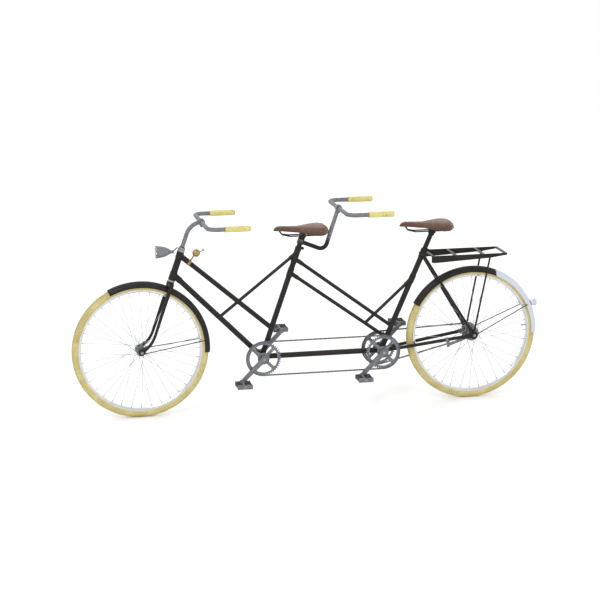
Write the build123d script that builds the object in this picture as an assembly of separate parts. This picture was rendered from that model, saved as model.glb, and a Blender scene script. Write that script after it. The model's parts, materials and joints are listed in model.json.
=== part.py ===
from build123d import *
from math import acos, atan2, cos, degrees, hypot, pi, radians, sin
import os

# Tandem bicycle for two riders, in millimetres: +Z up, the front wheel towards -X, the left side towards -Y.
# Side-view places are (x, z) with x counted rearwards from the front axle and z from the ground.

# ---------------------------------------------------------------- driving dimensions
bead_seat_r = 311.0
tyre_height = 40.0
tyre_r = bead_seat_r + tyre_height
chain_pitch = 12.7
ring_teeth = 44
sprocket_teeth = 20
timing_links = 144
drive_links = 110
bracket_height = 283.0
front_bracket_x = 630.0
front_angle = 71.0
rear_seat_angle = 66.5
fork_rake = 40.0
crank_length = 165.0
crank_angle = 45.0
bar_half_width = 225.0
grip_length = 132.0
front_bar_x = 322.0
front_bar_z = 1003.0
stoker_bar_x = 1034.0
stoker_bar_z = 1047.0

running_fit = 0.05
body_gap = 0.4
seat_gap = 0.25

guard_gap = 7.5
guard_wall = 1.5
guard_r = tyre_r + guard_gap + guard_wall
guard_half_width = 25.0
guard_drop = 30.0


def teeth_radius(teeth):
    return chain_pitch / (2 * sin(pi / teeth))


def centres_for_links(links, teeth_a, teeth_b):
    """Distance between two sprockets that a whole number of links fits."""
    guess = chain_pitch * (links - (teeth_a + teeth_b) / 2) / 2
    spread = ((teeth_a - teeth_b) / (2 * pi)) ** 2
    for _ in range(20):
        guess = chain_pitch * (links - (teeth_a + teeth_b) / 2 - spread * chain_pitch / guess) / 2
    return guess


ring_r = teeth_radius(ring_teeth)
sprocket_r = teeth_radius(sprocket_teeth)
bracket_spacing = centres_for_links(timing_links, ring_teeth, ring_teeth)
rear_bracket_x = front_bracket_x + bracket_spacing
rear_reach = centres_for_links(drive_links, ring_teeth, sprocket_teeth)
hub_rise = tyre_r - bracket_height
wheelbase = rear_bracket_x + (rear_reach**2 - hub_rise**2) ** 0.5
middle_x = (wheelbase + guard_r - tyre_r) / 2


# ---------------------------------------------------------------- helpers
def at(place, y=0.0):
    """A side-view place as a point of the model."""
    return Vector(place[0] - middle_x, y, place[1])


def towards(angle):
    return (cos(radians(angle)), sin(radians(angle)))


def along(start, angle, distance, side=0.0):
    """The place at a distance along a line, and square to it on its rear side."""
    dx, dz = towards(angle)
    return (start[0] + dx * distance + dz * side, start[1] + dz * distance - dx * side)


def between(a, b, share):
    return (a[0] + (b[0] - a[0]) * share, a[1] + (b[1] - a[1]) * share)


def rod(start, end, radius):
    run = end - start
    return Solid.make_cylinder(radius, run.length, Plane(origin=start, z_dir=run))


def pipe(start, end, radius, wall):
    return rod(start, end, radius) - rod(start, end, radius - wall)


def ball(centre, radius):
    return Pos(*centre) * Sphere(radius)


def wire(points, radius):
    """Bent round wire: straight runs with a ball in each bend."""
    shape = rod(points[0], points[1], radius)
    for start, end in zip(points[1:], points[2:]):
        shape = shape + ball(start, radius) + rod(start, end, radius)
    return shape


def cross_rod(place, y_low, y_high, radius):
    return rod(at(place, y_low), at(place, y_high), radius)


def cross_ring(place, y_low, y_high, outer, inner):
    return cross_rod(place, y_low, y_high, outer) - cross_rod(place, y_low - 1, y_high + 1, inner)


def side_plate(sketch, y_low, y_high):
    """A side-view outline, drawn about the model's origin, made a plate from y_low to y_high."""
    return extrude(Plane.XZ.offset(-y_high) * sketch, y_high - y_low, dir=(0, -1, 0))


def side_outline(places):
    return make_face(Polyline(*[(p[0] - middle_x, p[1]) for p in places], close=True))


def turned(section, hub, start=0.0, arc=360.0):
    """A section of (radius, y) points turned about a wheel's axle, from one angle through an arc."""
    c, s = towards(start)
    plane = Plane(origin=at(hub), x_dir=(c, 0, s), z_dir=(-s, 0, c))
    return revolve(plane * section, Axis(at(hub), (0, -1, 0)), arc)


def ring_section(points):
    return make_face(Polyline(*points, close=True))


def disc(place, y_low, y_high, outer, inner):
    section = ring_section([(inner, y_low), (outer, y_low), (outer, y_high), (inner, y_high)])
    return turned(section, place)


def swept_pipe(path, radius, wall):
    """A round tube along a path, open at both ends."""
    plane = Plane(origin=path @ 0, z_dir=path % 0)
    outer = sweep(plane * Circle(radius), path)
    return outer - sweep(plane * Circle(radius - wall), path)


nodes = {}


def node(name, *shapes):
    nodes[name] = [solid for shape in shapes for solid in shape.solids()]


# ---------------------------------------------------------------- side-view layout
front_hub = (0.0, tyre_r)
rear_hub = (wheelbase, tyre_r)
front_bracket = (front_bracket_x, bracket_height)
rear_bracket = (rear_bracket_x, bracket_height)
steer_foot = along(front_hub, front_angle, 0.0, fork_rake)


def steer(t, side=0.0):
    """A place on the steering axis, and square to it rearwards."""
    return along(steer_foot, front_angle, t, side)


def front_seat(s):
    return along(front_bracket, front_angle, s)


def rear_seat(s):
    return along(rear_bracket, rear_seat_angle, s)


crown_bottom = 360.0
crown_height = 24.0
race_height = 2.6
cup_height = 7.0
head_tube_bottom = crown_bottom + crown_height + race_height + body_gap + cup_height
head_tube_length = 152.0
head_tube_top = head_tube_bottom + head_tube_length
top_tube_on_head = head_tube_bottom + 133.0
down_tube_on_head = head_tube_bottom + 29.0
top_tube_on_seat = 158.0
front_seat_tube_top = 602.0
strut_on_front_seat = 572.0
upper_lateral_on_front = 538.0
lower_lateral_on_front = 461.0
upper_lateral_on_rear = 138.0
lower_lateral_on_rear = 72.0
strut_on_rear_seat = 411.0
seat_stay_on_rear = 547.0
rear_seat_tube_top = 578.0
front_strut_share = 0.515
rear_strut_share = 0.775

seat_tube_r = 14.3
tube_wall = 1.6
seat_post_r = seat_tube_r - tube_wall - running_fit
head_tube_r = 17.0
head_wall = 1.8
top_tube_r = 12.7
down_tube_r = 14.3
lateral_r = 9.5
strut_r = 8.5
bracket_shell_r = 20.0
bracket_half_width = 34.0
bracket_wall = 2.7


# ---------------------------------------------------------------- main frame
def mitred(start, end, radius, wall, *partners):
    """A tube between two axes, cut back to the outsides of the tubes that it meets."""
    shape = pipe(at(start), at(end), radius, wall)
    for partner in partners:
        shape = shape - partner
    return shape


def long_rod(start, end, radius):
    return rod(at(start), at(end), radius)


head_solid = long_rod(steer(head_tube_bottom), steer(head_tube_top), head_tube_r)
front_seat_solid = long_rod(front_bracket, front_seat(front_seat_tube_top), seat_tube_r)
rear_seat_solid = long_rod(rear_bracket, rear_seat(rear_seat_tube_top), seat_tube_r)
front_shell_solid = cross_rod(front_bracket, -bracket_half_width, bracket_half_width, bracket_shell_r)
rear_shell_solid = cross_rod(rear_bracket, -2 * bracket_half_width, 2 * bracket_half_width, bracket_shell_r)
top_tube_ends = (steer(top_tube_on_head), front_seat(top_tube_on_seat))
down_tube_ends = (steer(down_tube_on_head), front_bracket)
upper_lateral_ends = (front_seat(upper_lateral_on_front), rear_seat(upper_lateral_on_rear))
lower_lateral_ends = (front_seat(lower_lateral_on_front), rear_seat(lower_lateral_on_rear))
front_strut_ends = (between(*down_tube_ends, front_strut_share), front_seat(strut_on_front_seat))
rear_strut_ends = (between(*lower_lateral_ends, rear_strut_share), rear_seat(strut_on_rear_seat))
top_tube_solid = long_rod(*top_tube_ends, top_tube_r)
down_tube_solid = long_rod(*down_tube_ends, down_tube_r)
upper_lateral_solid = long_rod(*upper_lateral_ends, lateral_r)
lower_lateral_solid = long_rod(*lower_lateral_ends, lateral_r)
front_strut_solid = long_rod(*front_strut_ends, strut_r)


def make_main_tubes():
    head = pipe(at(steer(head_tube_bottom)), at(steer(head_tube_top)), head_tube_r, head_wall)
    node("head_tube", head)
    top_tube = mitred(*top_tube_ends, top_tube_r, tube_wall, head_solid, front_seat_solid)
    down_tube = mitred(*down_tube_ends, down_tube_r, tube_wall, head_solid, front_shell_solid, front_seat_solid)
    node("front_main_tubes", top_tube, down_tube)
    front = mitred(front_bracket, front_seat(front_seat_tube_top), seat_tube_r, tube_wall, front_shell_solid)
    rear = mitred(rear_bracket, rear_seat(rear_seat_tube_top), seat_tube_r, tube_wall, rear_shell_solid)
    node("seat_tubes", front, rear)
    struts = [
        mitred(*front_strut_ends, strut_r, tube_wall, down_tube_solid, top_tube_solid, front_seat_solid),
        mitred(*rear_strut_ends, strut_r, tube_wall, lower_lateral_solid, upper_lateral_solid, rear_seat_solid),
    ]
    node("diagonal_struts", *struts)
    upper = mitred(*upper_lateral_ends, lateral_r, tube_wall, front_seat_solid, rear_seat_solid)
    lower = mitred(*lower_lateral_ends, lateral_r, tube_wall, front_seat_solid, rear_seat_solid)
    boom = mitred(front_bracket, rear_bracket, down_tube_r, tube_wall, front_shell_solid, rear_shell_solid,
                  front_seat_solid)
    node("lateral_tubes", upper, lower, boom)


lug_wall = 2.0
lug_reach = 34.0


def lug(main_start, main_end, main_r, branches):
    """A socket sleeve round a main tube with a short sleeve for each tube that enters it."""
    shape = long_rod(main_start, main_end, main_r + lug_wall)
    for start, end, radius in branches:
        length = hypot(end[0] - start[0], end[1] - start[1])
        reach = between(start, end, (main_r + lug_reach) / length)
        shape = shape + long_rod(start, reach, radius + lug_wall)
    for start, end, radius in branches:
        shape = shape - long_rod(start, end, radius)
    return shape - rod_past(main_start, main_end, main_r)


def rod_past(start, end, radius, past=30.0):
    length = hypot(end[0] - start[0], end[1] - start[1])
    return long_rod(between(start, end, -past / length), between(start, end, 1 + past / length), radius)


stay_half_spread = 27.0
stay_boss_end = 8.0
boss_r = 9.5
front_lug_low = lower_lateral_on_front - 22
front_lug_mid = upper_lateral_on_front - 22
clamp_height = 16.0


def make_lugs():
    head_top = lug(steer(head_tube_top - 34), steer(head_tube_top), head_tube_r, [(*top_tube_ends, top_tube_r)])
    head_low = lug(steer(head_tube_bottom), steer(head_tube_bottom + 44), head_tube_r,
                   [(*down_tube_ends, down_tube_r)])
    seat_top = lug(front_seat(front_lug_mid), front_seat(front_seat_tube_top - clamp_height), seat_tube_r,
                   [(*upper_lateral_ends, lateral_r), (*front_strut_ends[::-1], strut_r)])
    seat_mid = lug(front_seat(front_lug_low), front_seat(lower_lateral_on_front + 26), seat_tube_r,
                   [(*lower_lateral_ends, lateral_r)])
    rear_strut = lug(rear_seat(strut_on_rear_seat - 24), rear_seat(strut_on_rear_seat + 20), seat_tube_r,
                     [(*rear_strut_ends[::-1], strut_r)])
    stay_place = rear_seat(seat_stay_on_rear)
    boss_half = stay_half_spread + stay_boss_end
    boss = cross_rod(stay_place, -boss_half, boss_half, boss_r)
    rear_top = long_rod(rear_seat(seat_stay_on_rear - 20), rear_seat(rear_seat_tube_top - clamp_height),
                        seat_tube_r + lug_wall)
    rear_top = rear_top + boss - rod_past(rear_bracket, rear_seat(rear_seat_tube_top), seat_tube_r)
    node("frame_lugs", head_top, head_low, seat_top, seat_mid, rear_strut, rear_top)


clamp_wall = 3.0
ear_reach = 15.0
clamp_bolt_r = 3.0


def seat_clamp(seat_line, top):
    """A split collar round the top of a seat tube, with its bolt behind."""
    low, high = seat_line(top - clamp_height + 0.2), seat_line(top)
    mid = seat_line(top - clamp_height / 2)
    ring = long_rod(low, high, seat_tube_r + clamp_wall)
    bolt_place = (mid[0] + seat_tube_r + clamp_wall + ear_reach / 2 - 3, mid[1])
    ears = cross_rod(bolt_place, -8, 8, 7.0)
    neck = long_rod(mid, bolt_place, 6.0)
    slit = Pos(*at((mid[0] + 18, mid[1]))) * Box(20, 2.0, clamp_height * 3)
    bolt = cross_rod(bolt_place, -12, 12, clamp_bolt_r) + cross_rod(bolt_place, 8, 12, 5.5)
    bolt = bolt + cross_rod(bolt_place, -12, -8, 5.0)
    collar = ring + ears + neck - rod_past(low, high, seat_tube_r) - slit - bolt
    return collar, bolt


def make_seat_clamps():
    node("seat_clamps", *seat_clamp(front_seat, front_seat_tube_top), *seat_clamp(rear_seat, rear_seat_tube_top))


# ---------------------------------------------------------------- bottom brackets and rear triangle
spindle_r = 8.0
cup_reach = 8.0
cup_flange = 3.5


def make_brackets():
    shells = []
    cups = []
    for place in (front_bracket, rear_bracket):
        bore = bracket_shell_r - bracket_wall
        shells.append(cross_ring(place, -bracket_half_width, bracket_half_width, bracket_shell_r, bore))
        for side in (-1, 1):
            inner, outer = bracket_half_width - cup_reach, bracket_half_width
            low, high = sorted((side * inner, side * outer))
            cup = cross_rod(place, low, high, bore)
            low, high = sorted((side * outer, side * (outer + cup_flange)))
            cup = cup + cross_rod(place, low, high, bore + 2.0)
            cups.append(cup - cross_rod(place, -60, 60, spindle_r + running_fit))
    node("bottom_bracket_shells", *shells)
    lower = steer(head_tube_bottom - cup_height)
    upper = steer(head_tube_top + cup_height)
    bore_r = head_tube_r - head_wall
    for start, end, press in ((lower, steer(head_tube_bottom), 12.0), (upper, steer(head_tube_top), 12.0)):
        length = hypot(end[0] - start[0], end[1] - start[1])
        flange = long_rod(start, end, head_tube_r + 1.5)
        skirt = long_rod(end, between(start, end, 1 + press / length), bore_r)
        cups.append(flange + skirt - rod_past(start, end, steerer_r + running_fit))
    node("bearing_cups", *cups)


steerer_r = 12.7
steerer_wall = 1.6
rear_half_spacing = 60.0
front_half_spacing = 50.0
dropout_thick = 5.0
axle_r = 5.0
chainstay_r = 9.0
chainstay_front_y = 24.0
seat_stay_r = 7.0
stay_end_gap = 44.0


def stay(start, start_y, start_r_cut, end_hub, end_y, radius, end_gap):
    """One rear stay: from a partner at the front or top to a plugged end short of the axle."""
    top, foot = at(start, start_y), at(end_hub, end_y)
    run = foot - top
    end = top + run * (1 - end_gap / run.length)
    plug = top + run * (1 - (end_gap + 34) / run.length)
    return rod(top, end, radius) - rod(top, plug, radius - 1.4) - start_r_cut


def dropout(hub, ends, y_low, y_high, radius):
    """A fork end: a disc round the axle with a tapering tongue towards each tube."""
    outline = Pos(at(hub).X, hub[1]) * Circle(radius)
    for end, reach, half in ends:
        angle = degrees(atan2(end[1] - hub[1], end[0] - hub[0]))
        tongue = Polyline((0, -radius * 0.8), (reach, -half), (reach, half), (0, radius * 0.8), close=True)
        outline = outline + Pos(at(hub).X, hub[1]) * Rot(0, 0, angle) * make_face(tongue)
    return side_plate(outline, y_low, y_high)


def make_rear_triangle():
    stays, plates = [], []
    boss_place = rear_seat(seat_stay_on_rear)
    boss_solid = cross_rod(boss_place, -60, 60, boss_r)
    centre_y = rear_half_spacing + dropout_thick / 2
    for side in (-1, 1):
        low, high = sorted((side * rear_half_spacing, side * (rear_half_spacing + dropout_thick)))
        ends = [(rear_bracket, 72, 6), (boss_place, 72, 5)]
        plate = dropout(rear_hub, ends, low, high, 21.0)
        chainstay = stay(rear_bracket, side * chainstay_front_y, rear_shell_solid, rear_hub, side * centre_y,
                         chainstay_r, stay_end_gap)
        seat_stay = stay(boss_place, side * stay_half_spread, boss_solid, rear_hub, side * centre_y,
                         seat_stay_r, stay_end_gap)
        stays += [chainstay - plate, seat_stay - plate]
        plates.append(plate - cross_rod(rear_hub, -80, 80, axle_r))
    stays.append(stay_bridge())
    node("rear_stays", *stays, *plates)


bridge_r = 6.0


def stay_bridge():
    """The cross tube between the seat stays that the mudguard hangs from."""
    top = rear_seat(seat_stay_on_rear)
    reach = guard_r + bridge_r + seat_gap
    length = hypot(top[0] - rear_hub[0], top[1] - rear_hub[1])
    place = between(rear_hub, top, reach / length)
    centre_y = rear_half_spacing + dropout_thick / 2
    bridge = cross_rod(place, -45, 45, bridge_r)
    for side in (-1, 1):
        stay_line = rod(at(top, side * stay_half_spread), at(rear_hub, side * centre_y), seat_stay_r)
        outside = at(place, side * (centre_y + (stay_half_spread - centre_y) * reach / length + 30))
        bridge = bridge - stay_line - Pos(*outside) * Box(60, 60, 60)
    return bridge


# ---------------------------------------------------------------- wheels
def tyre_section():
    """Tyre cover: round tread, upright beads that stand on the rim's seat."""
    neck, bead = 14.0, 9.5
    shoulder = bead_seat_r + 7
    rise = tyre_r - shoulder
    centre = (shoulder + tyre_r) / 2 - neck**2 / (2 * rise)
    outer, casing = tyre_r - centre, 3.2
    inner = outer - casing
    low = bead_seat_r + seat_gap
    cover = make_face(Polyline((low, -neck), (shoulder, -neck), (shoulder, neck), (low, neck), close=True))
    cover = cover + Pos(centre, 0) * Circle(outer) - Pos(centre, 0) * Circle(inner)
    lower_cut = make_face(Polyline((0, -40), (low, -40), (low, 40), (0, 40), close=True))
    flank = make_face(Polyline((low, -40), (shoulder, -40), (shoulder, -neck), (low, -neck), close=True))
    well = make_face(Polyline((low, -bead), (centre, -bead), (centre, bead), (low, bead), close=True))
    return cover - lower_cut - flank - mirror(flank, Plane.XZ) - well, centre, inner


def rim_section():
    lip, seat, well = bead_seat_r + 6.5, bead_seat_r, bead_seat_r - 4.5
    inside = [(lip, -14.2), (seat, -14.2), (seat, -9.0), (well, -6.5), (well, 6.5), (seat, 9.0), (seat, 14.2),
              (lip, 14.2)]
    outside = [(lip, 15.9), (seat - 2.2, 15.9), (seat - 2.4, 10.2), (well - 2.0, 7.4), (well - 2.0, -7.4),
               (seat - 2.4, -10.2), (seat - 2.2, -15.9), (lip, -15.9)]
    return ring_section(inside + outside)


rim_inner_r = bead_seat_r - 6.5
spoke_count = 36
spoke_r = 1.0
nipple_r = 2.0
nipple_length = 13.0
spoke_crossings = 3
valve_angle = 5.0


def wheel_place(hub, radius, angle, y):
    return at(along(hub, angle, radius), y)


def spokes(hub, flange_r, flange_y, flange_thick):
    """Crossed spokes with their nipples: half leave the flanges' outer faces, half the inner faces."""
    pieces = []
    per_side = spoke_count // 2
    step = 360 / per_side
    for side in (-1, 1):
        for k in range(per_side):
            rim_angle = k * step + (step / 2 if side > 0 else 0)
            lead = -1 if k % 2 else 1
            hub_angle = rim_angle - lead * spoke_crossings * step
            face = flange_thick / 2 + spoke_r
            offset = face + 1.0 if lead > 0 else -face - 0.1
            start = wheel_place(hub, flange_r, hub_angle, side * (flange_y + offset))
            end = wheel_place(hub, rim_inner_r - 2 * seat_gap, rim_angle, side * 2.0)
            run = (end - start).normalized()
            pieces.append(rod(start, end, spoke_r) + rod(end - run * nipple_length, end, nipple_r))
    return pieces


def make_wheel(name, hub, flange_r, flange_y, flange_thick):
    section, tube_centre, tube_r = tyre_section()
    inflated = Pos(tube_centre, 0) * (Circle(tube_r - 0.3) - Circle(tube_r - 1.3))
    valve_start = wheel_place(hub, tube_centre - tube_r + 1.0, valve_angle, 0)
    valve_end = wheel_place(hub, rim_inner_r - 32, valve_angle, 0)
    tube = turned(inflated, hub)
    valve = rod(valve_start, valve_end, 3.0) - turned(Pos(tube_centre, 0) * Circle(tube_r - 0.3), hub)
    node(name + "_tyre", turned(section, hub), tube, valve)
    rim = turned(rim_section(), hub) - rod(valve_start, valve_end, 4.0)
    node(name + "_rim", rim)
    node(name + "_spokes", *spokes(hub, flange_r, flange_y, flange_thick))


def hub_shell(hub, barrel_r, flange_r, flange_y, flange_thick, end_low, end_high, wall):
    """A hub shell turned from one piece: barrel, two spoke flanges and end faces bored for the axle."""
    rim_r = flange_r + 4.5
    inner_face, outer_face = flange_y - flange_thick / 2, flange_y + flange_thick / 2
    neck = axle_cone_r + 6.0
    outline = [(axle_cone_r + running_fit, end_low), (neck, end_low), (barrel_r, -outer_face), (rim_r, -outer_face),
               (rim_r, -inner_face), (barrel_r, -inner_face), (barrel_r, inner_face), (rim_r, inner_face),
               (rim_r, outer_face), (barrel_r, outer_face), (neck, end_high), (axle_cone_r + running_fit, end_high)]
    shell = turned(ring_section(outline), hub)
    cavity = disc(hub, end_low + 6, end_high - 6, min(barrel_r, neck + 2) - wall, axle_cone_r + running_fit)
    return shell - cavity


axle_cone_r = 6.5
front_flange_r, front_flange_y, flange_thick = 20.0, 30.0, 3.0
rear_flange_r, rear_flange_y = 34.0, 25.0
front_hub_end = 38.0
rear_hub_left, rear_hub_right = -42.0, 36.0
nut_flat = 15.0
nut_height = 8.0


def axle(hub, half_spacing, cone_low, cone_high, overhang):
    """A wheel axle with its cones and spacers turned on it, and a hexagon nut outside each fork end."""
    outer = half_spacing + dropout_thick
    spacer_r = axle_cone_r + 3.0
    shaft = cross_rod(hub, -outer - overhang, outer + overhang, axle_r)
    shaft = shaft + cross_rod(hub, cone_low - body_gap, cone_high + body_gap, axle_cone_r)
    shaft = shaft + cross_rod(hub, -half_spacing, cone_low - body_gap, spacer_r)
    shaft = shaft + cross_rod(hub, cone_high + body_gap, half_spacing, spacer_r)
    nuts = []
    for side in (-1, 1):
        low, high = sorted((side * outer, side * (outer + nut_height)))
        hexagon = Pos(at(hub).X, hub[1]) * RegularPolygon(nut_flat / 2, 6, major_radius=False)
        nuts.append(side_plate(hexagon, low, high) - shaft)
    return [shaft, *nuts]


def make_wheels():
    make_wheel("front", front_hub, front_flange_r, front_flange_y, flange_thick)
    make_wheel("rear", rear_hub, rear_flange_r, rear_flange_y, flange_thick)
    node("front_hub_shell", hub_shell(front_hub, 14.0, front_flange_r, front_flange_y, flange_thick,
                                      -front_hub_end, front_hub_end, 3.0))
    node("rear_hub_shell", hub_shell(rear_hub, 27.0, rear_flange_r, rear_flange_y, flange_thick,
                                     rear_hub_left, rear_hub_right, 3.0))
    node("front_axle", *axle(front_hub, front_half_spacing, -front_hub_end, front_hub_end, 13.0))


# ---------------------------------------------------------------- rear hub drive and brake arm
chain_line = 48.0
ring_thick = 3.0
chain_half_width = 3.6
chain_half_height = 4.3
tooth_gap = 0.3
driver_high = 53.0
arm_reach = 150.0
arm_drop = 13.0


def make_rear_drive():
    blank_r = sprocket_r - chain_half_height - tooth_gap
    low, high = chain_line - ring_thick / 2, chain_line + ring_thick / 2
    bore = axle_cone_r + running_fit
    sprocket = disc(rear_hub, low, high, blank_r, bore)
    driver = disc(rear_hub, rear_hub_right + body_gap, driver_high, 16.0, bore)
    node("rear_sprocket", sprocket + driver)
    pieces = axle(rear_hub, rear_half_spacing, rear_hub_left, driver_high, 15.0)
    node("rear_axle", *pieces)
    node("brake_reaction_arm", *brake_arm(pieces[0]))


def brake_arm(axle_solid):
    """The coaster brake's arm, from the axle to a strap on the left chain stay."""
    angle = degrees(atan2(rear_bracket[1] - rear_hub[1], rear_bracket[0] - rear_hub[0]))
    tip = along(rear_hub, angle + arm_drop, arm_reach)
    low, high = -49.0, -45.0
    hub_disc = Pos(at(rear_hub).X, rear_hub[1]) * Circle(17)
    bar = Polyline((0, -10), (arm_reach, -5.5), (arm_reach, 5.5), (0, 10), close=True)
    outline = hub_disc + Pos(at(rear_hub).X, rear_hub[1]) * Rot(0, 0, angle + arm_drop) * make_face(bar)
    arm = side_plate(outline, low, high) - axle_solid
    centre_y = rear_half_spacing + dropout_thick / 2
    foot, top = at(rear_hub, -centre_y), at(rear_bracket, -chainstay_front_y)
    run = (top - foot).normalized()
    hold = foot + run * (arm_reach - 4)
    strap = rod(hold - run * 7, hold + run * 7, chainstay_r + 1.8)
    tab = Pos(at(tip).X + 4, low - 2.2, (tip[1] + hold.Z) / 2 - 3) * Box(14, 4.0, hold.Z - tip[1] + 8)
    bolt = cross_rod((tip[0] + 4, tip[1]), low - 6, high + 3, 2.6)
    strap = strap + tab - rod(foot, top, chainstay_r) - bolt
    return arm - bolt - strap, strap, bolt


# ---------------------------------------------------------------- cranks, rings, chains and pedals
crank_inner, crank_outer = 52.0, 66.0
spindle_half_length = 71.0
pedal_inner, pedal_outer = 74.0, 162.0
pedal_spindle_r = 6.0
cotter_r = 4.5
ring_arm_width = 17.0
window_low, window_high = 31.0, 73.0


def crank_tip(bracket, side):
    """Left cranks point forwards and down, right cranks the opposite way."""
    angle = crank_angle if side > 0 else crank_angle + 180
    return along(bracket, angle, crank_length)


def crank_arm(bracket, side):
    tip = crank_tip(bracket, side)
    angle = degrees(atan2(tip[1] - bracket[1], tip[0] - bracket[0]))
    bar = Polyline((0, -13.5), (crank_length, -9.5), (crank_length, 9.5), (0, 13.5), close=True)
    outline = Circle(17.5) + make_face(bar) + Pos(crank_length, 0) * Circle(12.5)
    outline = Pos(at(bracket).X, bracket[1]) * Rot(0, 0, angle) * outline
    low, high = sorted((side * crank_inner, side * crank_outer))
    return side_plate(outline, low, high), angle


def cotter(bracket, angle, side):
    """The wedge pin that locks a crank, square to it and across the flat of the spindle."""
    seat = along(bracket, angle, spindle_r + 1.5)
    middle = side * (crank_inner + crank_outer) / 2
    pin = rod(at(along(seat, angle + 90, -21), middle), at(along(seat, angle + 90, 21), middle), cotter_r)
    nut = rod(at(along(seat, angle + 90, 16.5), middle), at(along(seat, angle + 90, 21), middle), 6.5)
    return pin + nut


def chain_ring(bracket, y_middle, side):
    """A chain ring with four windows between its arms, and the boss that seats against the crank."""
    blank_r = ring_r - chain_half_height - tooth_gap
    windows = Circle(window_high) - Circle(window_low)
    for turn in (45, 135):
        windows = windows - Rot(0, 0, turn) * Rectangle(2 * window_high + 2, ring_arm_width)
    windows = fillet(windows.vertices(), 7.0)
    outline = Circle(blank_r) - windows
    outline = Pos(at(bracket).X, bracket[1]) * outline
    plate = side_plate(outline, y_middle - ring_thick / 2, y_middle + ring_thick / 2)
    low, high = sorted((side * (chain_line + ring_thick / 2), side * crank_inner))
    return plate + cross_rod(bracket, low, high, 24.0) - cross_rod(bracket, -90, 90, spindle_r)


def make_crankset(name, bracket, ring_sides):
    arms, cotters = [], []
    spindle = cross_rod(bracket, -spindle_half_length, spindle_half_length, spindle_r)
    pedal_spindles = []
    for side in (-1, 1):
        arm, angle = crank_arm(bracket, side)
        pin = cotter(bracket, angle, side)
        tip = crank_tip(bracket, side)
        low, high = sorted((side * (crank_inner + 2), side * (pedal_outer + 1)))
        pedal_spindle = cross_rod(tip, low, high, pedal_spindle_r)
        low, high = sorted((side * crank_outer, side * (pedal_inner - body_gap)))
        pedal_spindle = pedal_spindle + cross_rod(tip, low, high, 8.5)
        arms.append(arm - spindle - pin - pedal_spindle)
        spindle = spindle - pin
        cotters.append(pin)
        pedal_spindles.append(pedal_spindle)
    node(name + "_crank_arms", *arms, *cotters)
    node(name + "_crank_spindles", spindle, *pedal_spindles)
    rings = [chain_ring(bracket, side * chain_line, side) for side in ring_sides]
    node(name + "_chain_rings", *rings)


def loop_face(a, radius_a, b, radius_b):
    """The outline of a belt laid round two circles."""
    distance = hypot(b[0] - a[0], b[1] - a[1])
    lean = degrees(atan2(b[1] - a[1], b[0] - a[0]))
    turn = degrees(acos((radius_a - radius_b) / distance))
    a_top, b_top = along(a, lean + turn, radius_a), along(b, lean + turn, radius_b)
    a_low, b_low = along(a, lean - turn, radius_a), along(b, lean - turn, radius_b)
    a_far, b_far = along(a, lean + 180, radius_a), along(b, lean, radius_b)
    flat = [(p[0] - middle_x, p[1]) for p in (a_top, b_top, b_far, b_low, a_low, a_far)]
    edges = [Line(flat[0], flat[1]), ThreePointArc(flat[1], flat[2], flat[3]),
             Line(flat[3], flat[4]), ThreePointArc(flat[4], flat[5], flat[0])]
    return make_face(edges)


def chain_band(a, radius_a, b, radius_b, y_middle):
    outer = loop_face(a, radius_a + chain_half_height, b, radius_b + chain_half_height)
    inner = loop_face(a, radius_a - chain_half_height, b, radius_b - chain_half_height)
    return side_plate(outer - inner, y_middle - chain_half_width, y_middle + chain_half_width)


def make_chains():
    node("timing_chain", chain_band(front_bracket, ring_r, rear_bracket, ring_r, -chain_line))
    node("drive_chain", chain_band(rear_bracket, ring_r, rear_hub, sprocket_r, chain_line))


pedal_half_length = 40.0
pedal_half_height = 12.5
pedal_plate = 3.0


def make_pedal(name, bracket, side):
    tip = crank_tip(bracket, side)

    def span(near, far):
        return sorted((side * near, side * far))

    barrel = cross_rod(tip, *span(pedal_inner, pedal_outer - 2), 9.0)
    plates = []
    for near in (pedal_inner + 1, pedal_outer - 4 - pedal_plate):
        outline = RectangleRounded(2 * pedal_half_length, 2 * pedal_half_height, 6.0)
        outline = Pos(at(tip).X, tip[1]) * outline
        plates.append(side_plate(outline, *span(near, near + pedal_plate)))
    cage = barrel + plates[0] + plates[1] - cross_rod(tip, -200, 200, pedal_spindle_r + running_fit)
    rubbers = []
    for forward in (-1, 1):
        outline = Pos(at(tip).X + forward * 25, tip[1]) * RectangleRounded(26, 22, 4.0)
        rubbers.append(side_plate(outline, *span(pedal_inner + 1 + pedal_plate, pedal_outer - 4 - pedal_plate)))
    node(name, cage, *rubbers)


def make_drive():
    make_crankset("front", front_bracket, [-1])
    make_crankset("rear", rear_bracket, [-1, 1])
    make_chains()
    for name, bracket in (("front", front_bracket), ("rear", rear_bracket)):
        make_pedal(name + "_left_pedal", bracket, -1)
        make_pedal(name + "_right_pedal", bracket, 1)


# ---------------------------------------------------------------- fork, head bearings and mudguards
blade_top_r, blade_foot_r = 10.5, 7.5
blade_top_y = 37.5
blade_bend = 105.0
blade_foot = (14.0, -30.0)


def fork_blade(side, top_r, foot_r):
    """One blade: a taper along the steering line, then a curve forwards to the axle."""
    foot_y = front_half_spacing + dropout_thick / 2
    top_t = crown_bottom + 14
    bend_y = foot_y + (blade_top_y - foot_y) * blade_bend / top_t
    top = at(steer(top_t), side * blade_top_y)
    bend = at(steer(blade_bend), side * bend_y)
    foot = at(steer(*blade_foot), side * foot_y)
    run = bend - top
    taper = Solid.make_cone(top_r, foot_r, run.length, Plane(origin=top, z_dir=run))
    curve = TangentArc(bend, foot, tangent=run)
    return taper + sweep(Plane(origin=bend, z_dir=run) * Circle(foot_r), curve)


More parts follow.
